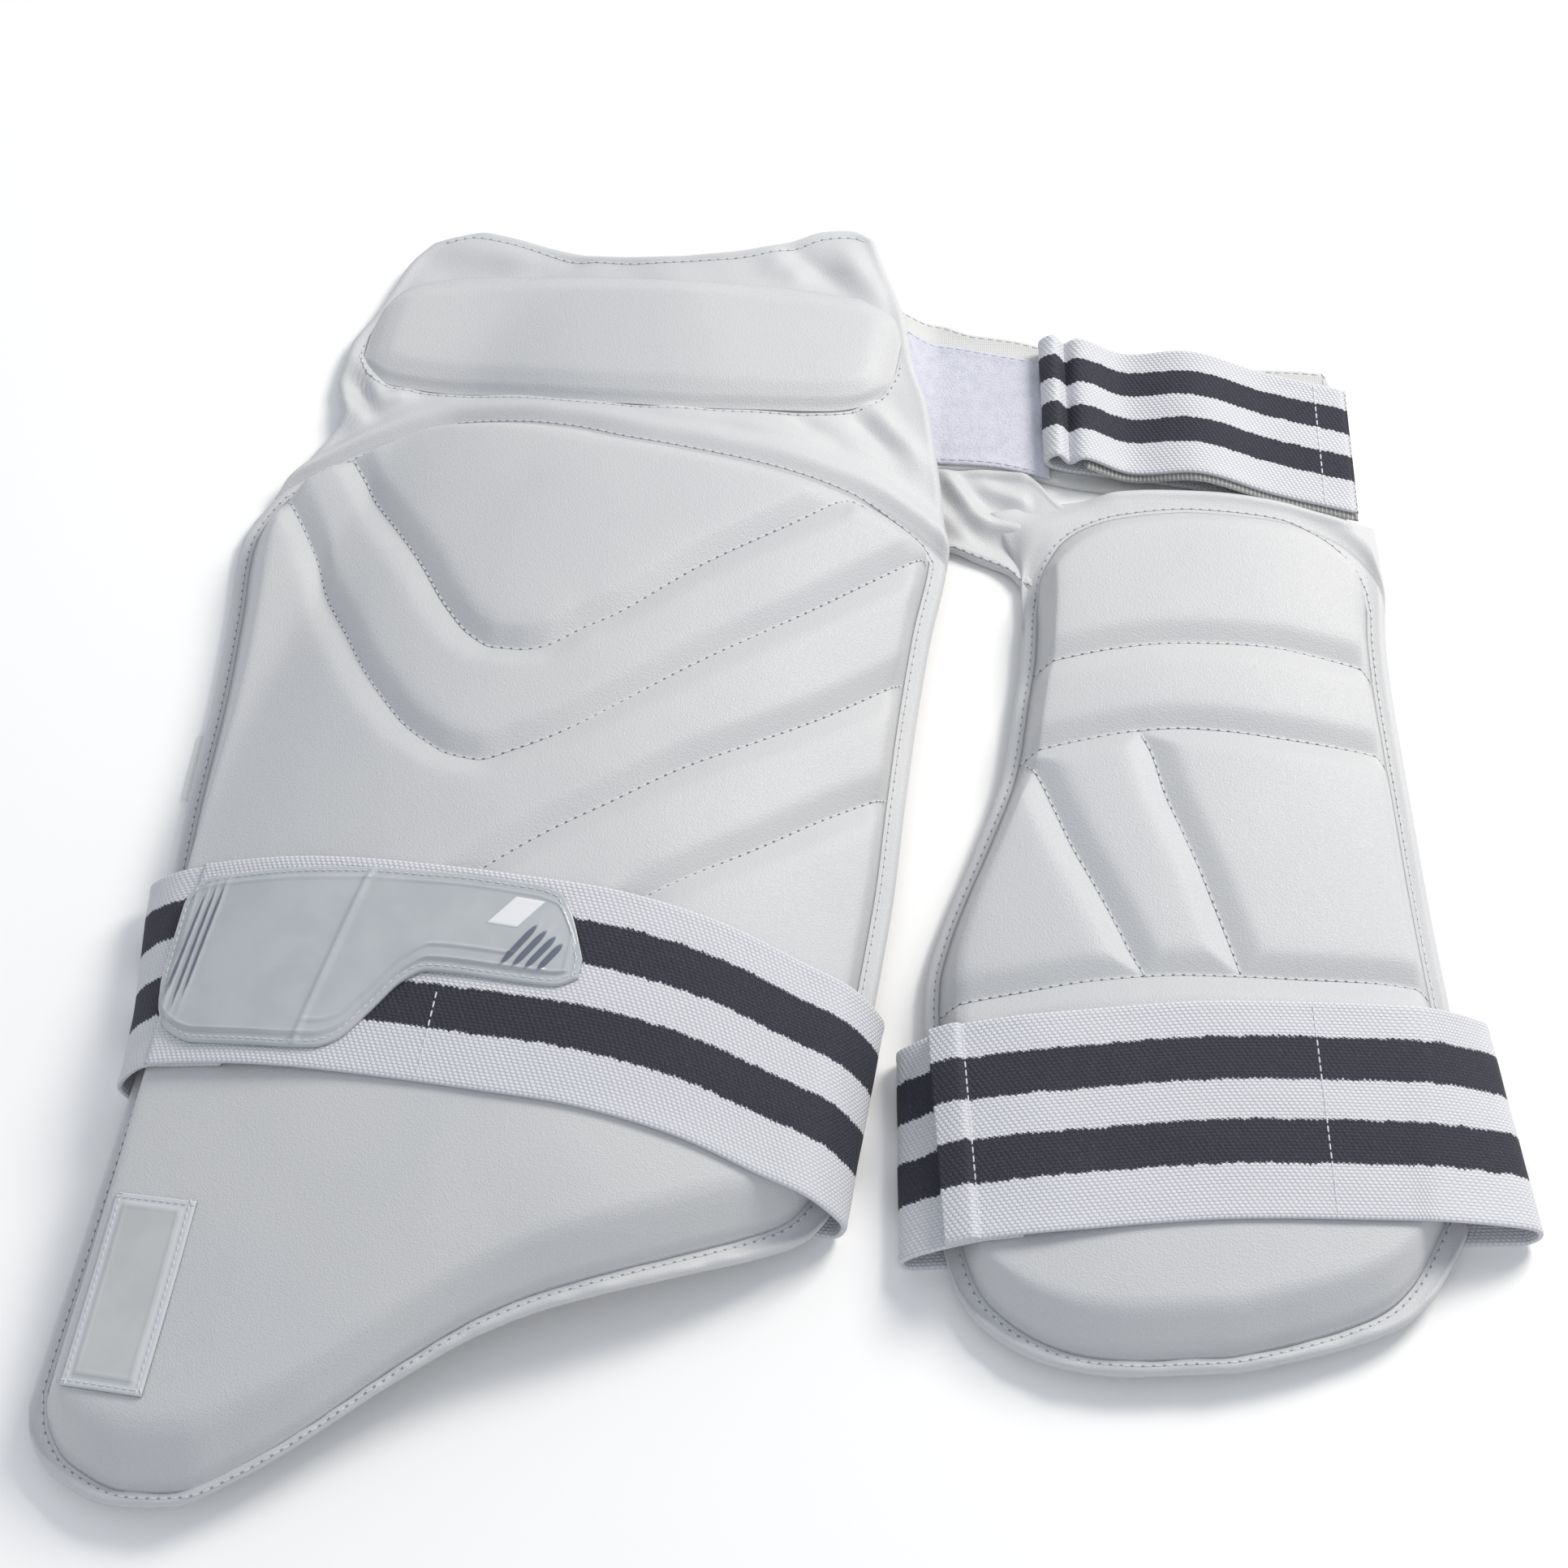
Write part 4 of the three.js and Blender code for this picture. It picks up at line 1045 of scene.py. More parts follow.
def folds_at(g, folds, u, v):
    """Sum of the folds: each a bell across its line, times a bell that fades along it."""
    total = 0
    for from_u, from_v, to_u, to_v, wide, high in folds["rows"]:
        au, av = from_u * g["width"], from_v * g["length"]
        du, dv = to_u * g["width"] - au, to_v * g["length"] - av
        length = math.hypot(du, dv)
        along = ((u - au) * du + (v - av) * dv) / length**2
        across = ((u - au) * dv - (v - av) * du) / length
        past = np.maximum(np.abs(along - 0.5) - 0.2, 0) / 0.4
        total = total + high * np.exp(-((across / (wide * g["width"])) ** 2) - past**2)
    return total


# %% Surface of a carrier
def share_at(g, u, v):
    """Share across the panel at u and v."""
    left = side(g, v, "left", 0)
    return (u - left) / (side(g, v, "right", 0) - left)


def corner_of(g, u, v):
    """1 in the panel's upper left corner, where the bridge is sewn on, and 0 elsewhere."""
    return ease_out((0.64 - v / g["length"]) / 0.06) * ease_out((u / g["width"] + 0.1) / 0.08)


def panel_lift(g, u, v):
    """How far the panel's middle is off its arch: the welt above the face, the folds in the
    loose part, a puffed lip along the rim and wrinkles at the foot. The corner over the
    bridge dips, with its tip rounded off."""
    s = np.clip(share_at(g, u, v), 0, 1)
    low = line_at(g, "foot", s)
    high = line_at(g, "top", s)
    past_face = v - line_at(g, "face_top", s)
    loose = 1 - ease_out((past_face - 2) / 14)
    lift = folds_at(g, g["folds"], u, v) * loose + 0.35 * loose * ripple(u, v, (19, 27, 41), 11)
    welt = bell(past_face - WELT["out"], WELT["wide"]) * ease_out(-past_face)
    lift = lift + WELT["high"] * g["welt"] * welt
    rim = edge_of(g, u, v, low, high)
    lip = bell(rim - LIP_BEAD["in"], LIP_BEAD["wide"])
    foot = bell(v - low, 6)
    lift = lift + LIP_BEAD["high"] * lip * (1 - g["merge"] * corner_of(g, u, v))
    wrinkle = 0.35 + 0.6 * ripple(u * 1.6, v, (9, 13, 17), 12)
    tip = soft_min(u - side(g, v, "left", 0), high - v, TIP_DIP["round"]) - TIP_DIP["start"]
    dip = TIP_DIP["deep"] * g["merge"] * corner_of(g, u, v) * ease_out(tip / TIP_DIP["over"])
    return lift + foot * wrinkle * (rim > 0) - dip


def carrier(name, g, columns, rows):
    """The backing panel: its outline's grid, folded where no face holds it flat."""
    s = edged(columns, 4.5 / g["width"], RIM)[:, None]
    low = line_at(g, "foot", s)
    high = line_at(g, "top", s)
    face_top = line_at(g, "face_top", s)
    keys = np.concatenate([low, low + 5, low + 9, face_top - 4, high - 5, high], -1)
    v = between(keys, rows)
    u = spot(g, s, v)
    half = CARRIER_THICK / 2 * round_edge(np.maximum(edge_of(g, u, v, low, high), 0), 2)
    lift = panel_lift(g, u, v)
    return slab(name, g, u, v, lift - half, lift + half), point(g, u, v, lift)


OUTER.update(folds=OUTER_FOLDS, welt=1, merge=0)
INNER.update(folds=INNER_FOLDS, welt=0.45, merge=1)
outer_panel, outer_middle = carrier("outer_panel", OUTER, 124, (7, 4, 44, 124, 8))
grow(outer_panel, "panel_leather", panel_leather, "outer_carrier")
inner_panel, inner_middle = carrier("inner_panel", INNER, 70, (6, 3, 40, 44, 7))
grow(inner_panel, "panel_leather", panel_leather, "inner_carrier")


# %% Stitches on the carriers
def panel_row(g, u, v):
    """A row of stitches on the front of the panel."""
    return row_on(g, u, v, panel_lift(g, u, v) + CARRIER_THICK / 2 + 0.02)


def hem_row(g, inset):
    """A row along the panel's upper hem."""
    s = np.linspace(0.03, 0.97, 200)
    v = line_at(g, "top", s) - inset
    return panel_row(g, spot(g, s, v), v)


outer_rows = [panel_row(OUTER, *beside(outer_u, outer_v, 1.6)), hem_row(OUTER, 4.6)]
stitch_rows("outer_lip", outer_rows, "panel_leather", hole_shadow=soft_hole_shadow)
inner_rows = [panel_row(INNER, *beside(inner_u, inner_v, 1.6))]
stitch_rows("inner_lip", inner_rows, "panel_leather", hole_shadow=soft_hole_shadow)

# %% [markdown]
# ## Hip pad
# A long capsule of foam sits on the hip panel. It is pressed like the faces, with a crowned top and
# a bevel all round, and a row of stitches runs along its near side and round both ends.

# %% Hip pad
HIP_OUTLINE = table("across low high", [
    (-0.456, 0.503, 0.522), (-0.44, 0.49, 0.556), (-0.41, 0.482, 0.573), (-0.36, 0.48, 0.582),
    (-0.28, 0.479, 0.59), (-0.19, 0.474, 0.594), (-0.08, 0.469, 0.594), (0.03, 0.471, 0.595),
    (0.14, 0.479, 0.598), (0.24, 0.49, 0.599), (0.285, 0.502, 0.593), (0.308, 0.517, 0.581),
    (0.318, 0.536, 0.562),
])


def hip_pad(name, counts):
    """The capsule: rows between its lower and upper edge, with a bevel by nearest edge."""
    g = OUTER
    ends = HIP_OUTLINE["rows"][[0, -1], 0] * g["width"]

    def edges(u):
        """Lower and upper edge of the capsule at u."""
        return low_and_high(HIP_OUTLINE, u / g["width"], g["length"])

    u, v, low, high = cut_grid(ends, edges, counts, (0.05, 0.06))
    edge = soft_min(soft_min(u - ends[0], ends[1] - u, 3), soft_min(v - low, high - v, 3), 3)
    rise = soft_min(np.maximum(edge, 0) / HIP_BEVEL, 1 + 0 * edge, 0.18)
    crown = 1 + HIP_CROWN * (1 - ((v - (low + high) / 2) / ((high - low) / 2)) ** 2)
    thick = SEAM_FOAM + (HIP_FOAM - SEAM_FOAM) * np.clip(rise, 0, 1) * crown
    thick = thick + 0.35 * rise * ripple(u, v, (37, 53, 71), 17)
    thick = thinned(thick, border_gap(u, v, *ends, low, high), 4)
    return raised(name, g, u, v, FACE_SEAT, thick)


hip_face, hip_u, hip_v = hip_pad("hip_face", (140, 54))
grow(hip_face, "face_leather", face_leather, "hip_pad")
hip_line = panel_row(OUTER, *beside(hip_u, hip_v, 1.1))
half_end = hip_u.shape[1] // 2
near_side = np.roll(hip_line, half_end, 1)[:, : hip_u.shape[0] + 2 * half_end]
stitch_rows("hip", [near_side], "panel_leather", hole_shadow=soft_hole_shadow)

# %% [markdown]
# ## Straps of striped elastic
# A strap is a band carried along a path. The path is a smooth curve through a few stations on the
# face, round each edge and flat under the guard, and it is worked out for every lane across the
# webbing at once. The uv map holds the distance along the webbing and the share across it, so that
# the stripes and the weave follow the cloth.


# %% Smooth paths
def smooth_path(stations, steps):
    """Points on a centripetal curve through the stations, by Barry and Goldman's pyramid.
    The first axis is the station, and each stretch is cut into steps."""
    ends = [2 * stations[:1] - stations[1:2], stations, 2 * stations[-1:] - stations[-2:-1]]
    p = np.concatenate(ends)
    gaps = np.sqrt(np.linalg.norm(np.diff(p, axis=0), axis=-1, keepdims=True))
    knots = np.concatenate([0 * gaps[:1], np.cumsum(np.maximum(gaps, 1e-6), 0)])
    share = np.arange(steps).reshape(-1, *([1] * p.ndim)) / steps
    t0, t1, t2, t3 = knots[:-3], knots[1:-2], knots[2:-1], knots[3:]
    p0, p1, p2, p3 = p[:-3], p[1:-2], p[2:-1], p[3:]
    t = t1 + (t2 - t1) * share
    a1 = ((t1 - t) * p0 + (t - t0) * p1) / (t1 - t0)
    a2 = ((t2 - t) * p1 + (t - t1) * p2) / (t2 - t1)
    a3 = ((t3 - t) * p2 + (t - t2) * p3) / (t3 - t2)
    b1 = ((t2 - t) * a1 + (t - t0) * a2) / (t2 - t0)
    b2 = ((t3 - t) * a2 + (t - t1) * a3) / (t3 - t1)
    c = ((t2 - t) * b1 + (t - t1) * b2) / (t2 - t1)
    return np.concatenate([np.swapaxes(c, 0, 1).reshape(-1, *p.shape[1:]), stations[-1:]])


def normals_of(path):
    """Unit normals of a grid of points, from its two directions."""
    return unit(np.cross(np.gradient(path, axis=0), np.gradient(path, axis=1)))


# %% Bands of webbing
LANES = edged(40, 0.03, RIM)
HEM_LENGTH = 10.5


def band(name, path, width, seed, hem=0.0):
    """A band of webbing: its path in lanes, swollen to its thickness with round edges. A hem
    at its start is a second layer, which makes it thicker there. Both long edges are a little
    plump, as knitted elastic is."""
    steps = np.linalg.norm(np.diff(path, axis=0), axis=-1).mean(-1)
    along = np.concatenate([[0], np.cumsum(steps)])[:, None] + 0 * LANES[None, :]
    across = LANES[None, :] + 0 * along
    ends = np.minimum(along, along[-1] - along)
    sides = np.minimum(across, 1 - across) * width
    half = WEBBING_THICK / 2 * round_edge(np.minimum(ends, sides), WEBBING_THICK / 2)
    half = half + 0.16 * bell(sides - 2, 1.2)
    proud = hem * ease_out((along - HEM_LENGTH) / 1.5) * round_edge(ends, 1)
    normal = normals_of(path)
    wave = 0.2 * ripple(along, across * width, (23, 37, 61), seed)
    upper = path + normal * (half + wave + proud)[..., None]
    lower = path + normal * (wave - half)[..., None]
    piece = shell(name, upper, lower, np.stack([along * MM, across], -1))
    return {"piece": piece, "along": along[:, 0], "upper": upper, "lower": lower, "normal": normal}


def strap_row(strap, distance, lanes=slice(4, -4)):
    """A row of stitches across the strap, at a distance along it."""
    k = int(np.argmax(strap["along"] > distance))
    return strap["upper"][k, lanes] + 0.03 * strap["normal"][k, lanes], strap["normal"][k, lanes]


# %% Path of a thigh strap
def along_line(g, run, u):
    """Middle of the strap along the guard at each place across it."""
    return read(run["line"], "along", u / g["width"]) * THIGH_WEBBING


def thigh_path(g, run):
    """The path of a thigh strap in lanes: over the face from its free end, round the right
    edge, flat under the guard, round the left edge and back under the free end."""
    lane = (LANES - 0.5) * THIGH_WEBBING
    ride = CARRIER_THICK / 2 + 1.3 * PIECE_GAP + g["foam"] + WEBBING_THICK / 2
    floor = WEBBING_THICK / 2 + FLOOR_GAP

    def top(u, extra):
        """A station over the face."""
        u = u + 0 * lane
        return point(g, u, along_line(g, run, u) + lane, ride + extra)

    def laid(u, z):
        """A station at a height of its own over the table."""
        return turned(g, u, along_line(g, run, u) + lane, z + 0 * lane)

    def shoulder(u, name, inset):
        """A station over the face's bevel, at a distance from the panel's edge."""
        return top(side(g, along_line(g, run, u) + lane, name, inset), 0)

    front = run["front"]["rows"]
    stations = [top(u * g["width"], extra * STRAP_LAYER) for u, extra in front]
    stations.append(shoulder(front[-1, 0] * g["width"], "right", -LIP_FAR - EDGE_BEVEL))
    right, left = run["right"](lane), run["left"](lane)
    stations += [laid(right + out, floor + z) for out, z in run["turn_right"]]
    stations += [laid(right + (left - right) * t, floor) for t in (0.2, 0.4, 0.6, 0.8)]
    stations += [laid(left - out, floor + z) for out, z in run["turn_left"]]
    stations.append(shoulder(run["under"][0] * g["width"], "left", LIP_SIDE + EDGE_BEVEL))
    stations += [top(u * g["width"], 0) for u in run["under"]]
    path = smooth_path(np.array(stations), 11)
    path[..., 2] = np.maximum(path[..., 2], floor)
    return path


# %% Runs of the two thigh straps
OUTER_RUN = {
    "line": table("across along", [
        (-0.47, -0.09), (-0.23, -0.03), (0, -0.01), (0.15, 0), (0.35, -0.11), (0.43, -0.16),
    ]),
    "front": table("across layers", [
        (-0.395, 1), (-0.34, 1), (-0.28, 1), (-0.21, 0.6), (-0.12, 0), (0, 0), (0.12, 0), (0.24, 0),
        (0.34, 0),
    ]),
    "under": (-0.36, -0.3),
    "turn_right": ((3.2, 12), (3, 5), (0.8, 0.7), (-5, 0)),
    "turn_left": ((-5, 0), (0.8, 0.7), (3, 5), (3.2, 11)),
    "right": lambda lane: side(OUTER, lane, "right", 0),
    "left": lambda lane: side(OUTER, lane, "left", 0),
}
INNER_RUN = {
    "line": table("across along", [(-0.5, -0.04), (-0.3, -0.02), (0, 0.01), (0.3, -0.01), (0.6, -0.03)]),
    "front": table("across layers", [
        (-0.468, -0.6), (-0.42, 0.6), (-0.36, 1), (-0.29, 1), (-0.22, 0.5), (-0.12, 0), (0, 0), (0.12, 0),
        (0.24, 0), (0.34, 0),
    ]),
    "under": (-0.37, -0.33),
    "turn_right": ((-5, 13.5), (-1, 10), (0, 5), (-2.5, 0.8), (-7, 0)),
    "turn_left": ((-7, 0), (-2, 1), (0, 5.5), (-4, 11)),
    "right": lambda lane: (0.575 - 0.04 * lane / THIGH_WEBBING) * INNER["width"],
    "left": lambda lane: (-0.545 + 0.02 * lane / THIGH_WEBBING) * INNER["width"],
}

# %% Thigh straps
outer_strap = band("outer_webbing", thigh_path(OUTER, OUTER_RUN), THIGH_WEBBING, 21)
grow(outer_strap["piece"], "webbing", thigh_elastic, "outer_strap")
inner_strap = band("inner_webbing", thigh_path(INNER, INNER_RUN), THIGH_WEBBING, 23, hem=2)
grow(inner_strap["piece"], "webbing", thigh_elastic, "inner_strap")
OUTER_STITCH, INNER_STITCH = 92, 125
strap_rows = [
    strap_row(outer_strap, OUTER_STITCH, slice(5, 22)),
    strap_row(inner_strap, HEM_LENGTH + 1),
    strap_row(inner_strap, INNER_STITCH),
]

# %% [markdown]
# ## Belt, loop patch and bridge
# The belt and the bridge are flat cuts of cloth. They lie on the table and rise at their ends to
# the carriers that they are sewn to. The loop patch is sewn on the belt's front, and the bridge is
# gathered where the inner guard pulls on it.

# %% Outlines of the belt and its patch
BELT_OUTLINE = table("across low high", [
    (0, 0.56, 1.52), (0.12, 0.545, 1.52), (0.2, 0.54, 1.45), (0.3, 0.5, 1.41), (0.4, 0.43, 1.33),
    (0.6, 0.36, 1.22), (0.9, 0.24, 1.21), (0.98, 0.22, 1.19), (1, 0.24, 1.03),
])
LOOP_OUTLINE = table("across low high", [
    (0, 0.575, 1.39), (0.3, 0.565, 1.36), (0.6, 0.545, 1.31), (0.85, 0.5, 1.27), (1, 0.465, 1.22),
])
LOOP_START = 8
LOOP_LENGTH = 53
RISE_LENGTH = 22
BELT_PLACE = np.array([*BELT_START, 0]) + SHIFT


def belt_edges(x):
    """Lower and upper edge of the belt at x, from the belt's start."""
    return low_and_high(BELT_OUTLINE, x / BELT_LENGTH, BELT_WIDTH)


def underside(g, x, y):
    """Height of a carrier's underside over a place given from the belt's start."""
    dx = x + BELT_START[0] - g["place"][0]
    dy = y + BELT_START[1] - g["place"][1]
    c, s = math.cos(g["turn"]), math.sin(g["turn"])
    return height(g, dx * c + dy * s, dy * c - dx * s) - 0.6 * CARRIER_THICK


def sewn_rise(g, x, y, thick, share):
    """How far a cut is lifted to meet the underside of the carrier that holds it."""
    return share * np.maximum(underside(g, x, y) - PIECE_GAP - thick, 0)


def belt_bottom(x, y):
    """Height of the belt's underside, which rises to the outer guard's carrier."""
    return sewn_rise(OUTER, x, y, BELT_THICK, ease_out(x / RISE_LENGTH))


# %% Flat cuts
def laid_cut(name, edges, reach, counts, bottom, thick, bulge):
    """A flat cut: x along its reach, y between its edges, on its bottom height. It is a
    little plump inside its border, as a turned and stitched edge is."""
    x, y, low, high = cut_grid(reach, edges, counts, (0.02, 0.03))
    near = border_gap(x, y, *reach, low, high)
    half = thick / 2 * round_edge(near, thick / 2)
    plump = 0.35 * bell(near - 2.2, 1.4)
    middle = bottom(x, y) + thick / 2 + bulge(x, y)
    upper = np.stack([x, y, middle + half + plump], -1) + BELT_PLACE
    lower = np.stack([x, y, middle - half], -1) + BELT_PLACE
    return shell(name, upper, lower, flat_map(x, y)), upper


def belt_bulge(x, y):
    """Soft unevenness of the belt and of the patch on it."""
    return 0.3 + 0.3 * ripple(x, y, (31, 47), 31)


def loop_edges(x):
    """Lower and upper edge of the loop patch."""
    return low_and_high(LOOP_OUTLINE, (x - LOOP_START) / LOOP_LENGTH, BELT_WIDTH)


# %% Belt and loop patch
belt_cloth, belt_top = laid_cut(
    "belt_cloth",
    belt_edges,
    (0, BELT_LENGTH),
    (110, 50),
    belt_bottom,
    BELT_THICK,
    belt_bulge,
)
grow(belt_cloth, "belt_cloth", belt_weave, "waist_belt")
loop_pile, loop_top = laid_cut(
    "loop_pile",
    loop_edges,
    (LOOP_START, LOOP_START + LOOP_LENGTH),
    (60, 66),
    lambda x, y: belt_bottom(x, y) + BELT_THICK + 0.3,
    PATCH_THICK,
    belt_bulge,
)
grow(loop_pile, "hook_loop", loop_pile_cloth, "loop_patch")


def edge_row(grid, rows):
    """Rows of stitches that follow a cut's own grid, over its front."""
    normal = normals_of(grid)
    picked = []
    for columns, lines in rows:
        picked.append((grid[columns, lines] + 0.05 * normal[columns, lines], normal[columns, lines]))
    return picked


belt_rows = edge_row(belt_top, [(slice(4, -4), -6), (-6, slice(6, -6))])
loop_rows = edge_row(loop_top, [(slice(4, -4), 5), (slice(4, -4), -6), (5, slice(5, -5))])
stitch_rows("belt", belt_rows + loop_rows, "belt_cloth", size=BELT_STITCH)

# %% Bridge
BRIDGE_LENGTH = 58
BRIDGE_TUCK = 14
BRIDGE_DROP = {"start": 52, "over": 14, "deep": 11}
BRIDGE_FOOT = table("across low", [
    (0, 0.02), (0.35, 0.02), (0.56, -0.05), (0.76, -0.14), (0.86, -0.24), (1, -0.3),
])
BRIDGE_FOLDS = table("from_u from_v to_u to_v wide high", [
    (21, 36, 33, 16, 3.8, 4.0), (31, 15, 53, 7, 4.2, 3.8), (17, 22, 30, 5, 3.6, 1.6),
    (34, 30, 52, 21, 3.8, 2.6), (30, 37, 56, 35, 3.4, 2.2), (20, 4, 40, -3, 3.4, 1.8),
    (40, -4, 54, -16, 3.6, 1.8),
])


def bridge_edges(x):
    """Lower and upper edge of the bridge. The upper one follows the belt, then drops to hide
    the bridge's end under the inner guard."""
    low = read(BRIDGE_FOOT, "low", x / BRIDGE_LENGTH) * BELT_WIDTH
    drop = BRIDGE_DROP["deep"] * (1 - ease_out((x - BRIDGE_DROP["start"]) / BRIDGE_DROP["over"]))
    return low, belt_edges(x)[0] - PIECE_GAP - drop


def bridge_bottom(x, y):
    """Height of the bridge's underside, which rises to both carriers."""
    left = sewn_rise(OUTER, x, y, BELT_THICK, ease_out(x / RISE_LENGTH))
    right = sewn_rise(INNER, x, y, BRIDGE_THICK, ease_out((BRIDGE_LENGTH - x) / RISE_LENGTH))
    return left + right


def bridge_folds(x, y):
    """Folds of the bridge, which die out under both carriers."""
    flat = {"width": 1, "length": 1}
    free = ease_out((17 - x) / 8) * ease_out((x - 50) / 6)
    return np.maximum(folds_at(flat, BRIDGE_FOLDS, x, y), 0) * free + 0.1


bridge_cloth, bridge_top = laid_cut(
    "bridge_cloth",
    bridge_edges,
    (0, BRIDGE_LENGTH + BRIDGE_TUCK),
    (96, 76),
    bridge_bottom,
    BRIDGE_THICK,
    bridge_folds,
)
grow(bridge_cloth, "panel_leather", panel_leather, "bridge_web")
bridge_rows = edge_row(bridge_top, [(slice(4, -4), 6)])
stitch_rows("bridge", bridge_rows, "panel_leather", size=BELT_STITCH, hole_shadow=soft_hole_shadow)

# %% [markdown]
# ## Waist strap
# The same elastic, narrower: it lies on the belt, folds back at the left and returns on top in low
# humps. A second layer of plain hook tape is sewn behind its front run and shows as a pale line along
# its lower edge.

# %% Path of the waist strap
WAIST_LENGTH = 118
WAIST_HUMP = 7
WAIST_HEM = 14
HOOK_WIDE = WAIST_WEBBING - 4
WAIST_LINE = table("across low", [(0, 0.53), (0.2, 0.47), (0.45, 0.4), (0.7, 0.3), (1, 0.16)])
WAIST_RISE = table("across rise", [
    (0.035, 0.9), (0.072, 0.3), (0.115, 0.9), (0.26, 0.15), (0.47, 1.1), (0.7, 0.5), (0.96, 0.45),
])
WAIST_LEFT = 0.35 * BELT_LENGTH
WAIST_REST = BELT_THICK + PIECE_GAP + WEBBING_THICK / 2 + 0.5


def waist_station(x, z, width=WAIST_WEBBING, drop=0.0):
    """One station of the waist strap, in lanes."""
    y = read(WAIST_LINE, "low", (x - WAIST_LEFT) / WAIST_LENGTH) * BELT_WIDTH - drop + LANES * width
    return np.stack([x + 0 * LANES, y, z + 0 * LANES], -1) + BELT_PLACE


def front_run(lower, width, drop):
    """The stations of the front run, with their humps, by share of the strap's length."""
    x = WAIST_LEFT + WAIST_RISE["rows"][:, 0] * WAIST_LENGTH
    z = WAIST_REST + 3 - lower + WAIST_RISE["rows"][:, 1] * WAIST_HUMP
    return [waist_station(a, b, width, drop) for a, b in zip(x, z)]


# %% Waist strap
right = WAIST_LEFT + WAIST_LENGTH
stations = [waist_station(x, WAIST_REST) for x in (right - 8, (WAIST_LEFT + right) / 2, WAIST_LEFT + 16)]
stations += [
    waist_station(WAIST_LEFT + out, WAIST_REST + up) for out, up in ((7, 0.1), (1.4, 1.6), (0, 5))
]
stations += front_run(0, WAIST_WEBBING, 0)
waist_strap = band("waist_webbing", smooth_path(np.array(stations), 13), WAIST_WEBBING, 25)
grow(waist_strap["piece"], "webbing", waist_elastic, "waist_strap")
backing = front_run(WEBBING_THICK + 0.1, HOOK_WIDE, 2.2)[2:]
hook_tape = band("hook_tape", smooth_path(np.array(backing), 13), HOOK_WIDE, 27)
grow(hook_tape["piece"], "belt_cloth", hook_weave)
strap_rows.append(strap_row(waist_strap, waist_strap["along"][-1] - WAIST_HEM))
stitch_rows("strap", strap_rows, "webbing", size=(2.3, 0.6, 0.4), pitch=3.0)

# %% [markdown]
# ## Badge, patch and label
# The strap carries a glossy moulded plate with a raised rim, a ridge and a few ribs. A smaller plate
# is stitched on the tail in a clear border. Both stay plain between their ribs. The size label is a
# bare tab of ribbon.

# %% Outline and ribs of the strap's badge
BADGE_LENGTH = 129
BADGE_WIDTH = 67
BADGE_THICK = 2.2
BADGE_SEAT = CARRIER_THICK / 2 + OUTER["foam"] + WEBBING_THICK + 1.9 * PIECE_GAP
BADGE_OUTLINE = table("across low high", [
    (-0.81, -0.16, 0.22), (-0.79, -0.36, 0.34), (-0.75, -0.47, 0.39), (-0.68, -0.52, 0.41),
    (-0.5, -0.51, 0.45), (-0.39, -0.49, 0.47), (-0.34, -0.44, 0.48), (-0.28, -0.28, 0.485),
    (-0.22, -0.1, 0.49), (-0.17, -0.03, 0.495), (-0.1, -0.02, 0.5), (0.04, -0.015, 0.5),
    (0.1, -0.01, 0.48), (0.14, 0, 0.38), (0.19, 0.06, 0.16),
])
BADGE_RIBS = table("from_u from_v to_u to_v wide high", [
    (-0.745, 0.3, -0.775, -0.3, 0.006, 0.8), (-0.722, 0.33, -0.752, -0.36, 0.006, 0.8),
    (-0.7, 0.35, -0.73, -0.3, 0.006, 0.8), (0.005, 0.06, 0.065, 0.27, 0.009, 1.0),
    (0.035, 0.06, 0.09, 0.25, 0.009, 1.0), (0.065, 0.06, 0.115, 0.23, 0.009, 1.0),
    (0.095, 0.06, 0.135, 0.2, 0.009, 1.0),
])
BADGE_RIDGES = table("from_u from_v to_u to_v wide high", [(-0.35, 0.5, -0.435, -0.5, 0.007, 1.3)])


# %% Strap badge
def strap_badge(name, counts):
    """The plate on the strap's free end, with its rim, ridge and ribs raised. The ribs are
    printed dark, so they go into the mask called trace as well, and so does a raised facet coloured
    bright as a painted highlight."""
    g = OUTER
    ends = BADGE_OUTLINE["rows"][[0, -1], 0]
    a, v, low, high = cut_grid(
        ends, lambda a: low_and_high(BADGE_OUTLINE, a, BADGE_WIDTH), counts, (0.02, 0.04)
    )
    u = a * BADGE_LENGTH
    edge = border_gap(u, v, u[0, 0], u[-1, 0], low, high)
    plate_rise = 0.7 * (1 - ease_out((edge - 3.6) / 0.9))
    rim_line = 0.5 * bell(edge - 4.6, 0.45)
    scale = {"width": BADGE_LENGTH, "length": BADGE_WIDTH}
    ribs = folds_at(scale, BADGE_RIBS, u, v)
    curve = bell(v - low - 9, 0.6) * ease_out((-0.4 - a) / 0.04) * ease_out(a / 0.04)
    b = v / BADGE_WIDTH
    # The raised facet across the middle is coloured bright, a painted highlight, and goes into the mask
    # called trace below zero.
    across_highlight_facet = np.maximum(np.abs(a - 0.01 - 0.35 * (b - 0.33)) - 0.03, np.abs(b - 0.33) - 0.07)
    highlight_facet = ease_out((across_highlight_facet - 0.002) / 0.008)
    relief = plate_rise + rim_line + ribs + folds_at(scale, BADGE_RIDGES, u, v) + 0.8 * curve + 0.4 * highlight_facet
    extra = read(OUTER_RUN["front"], "layers", u / g["width"]) * STRAP_LAYER
    thick = (BADGE_THICK - 0.8) * round_edge(edge, 1.0) + relief * np.clip(edge / 2, 0, 1)
    return raised(name, g, u, v, BADGE_SEAT + extra, thick, ribs - highlight_facet)


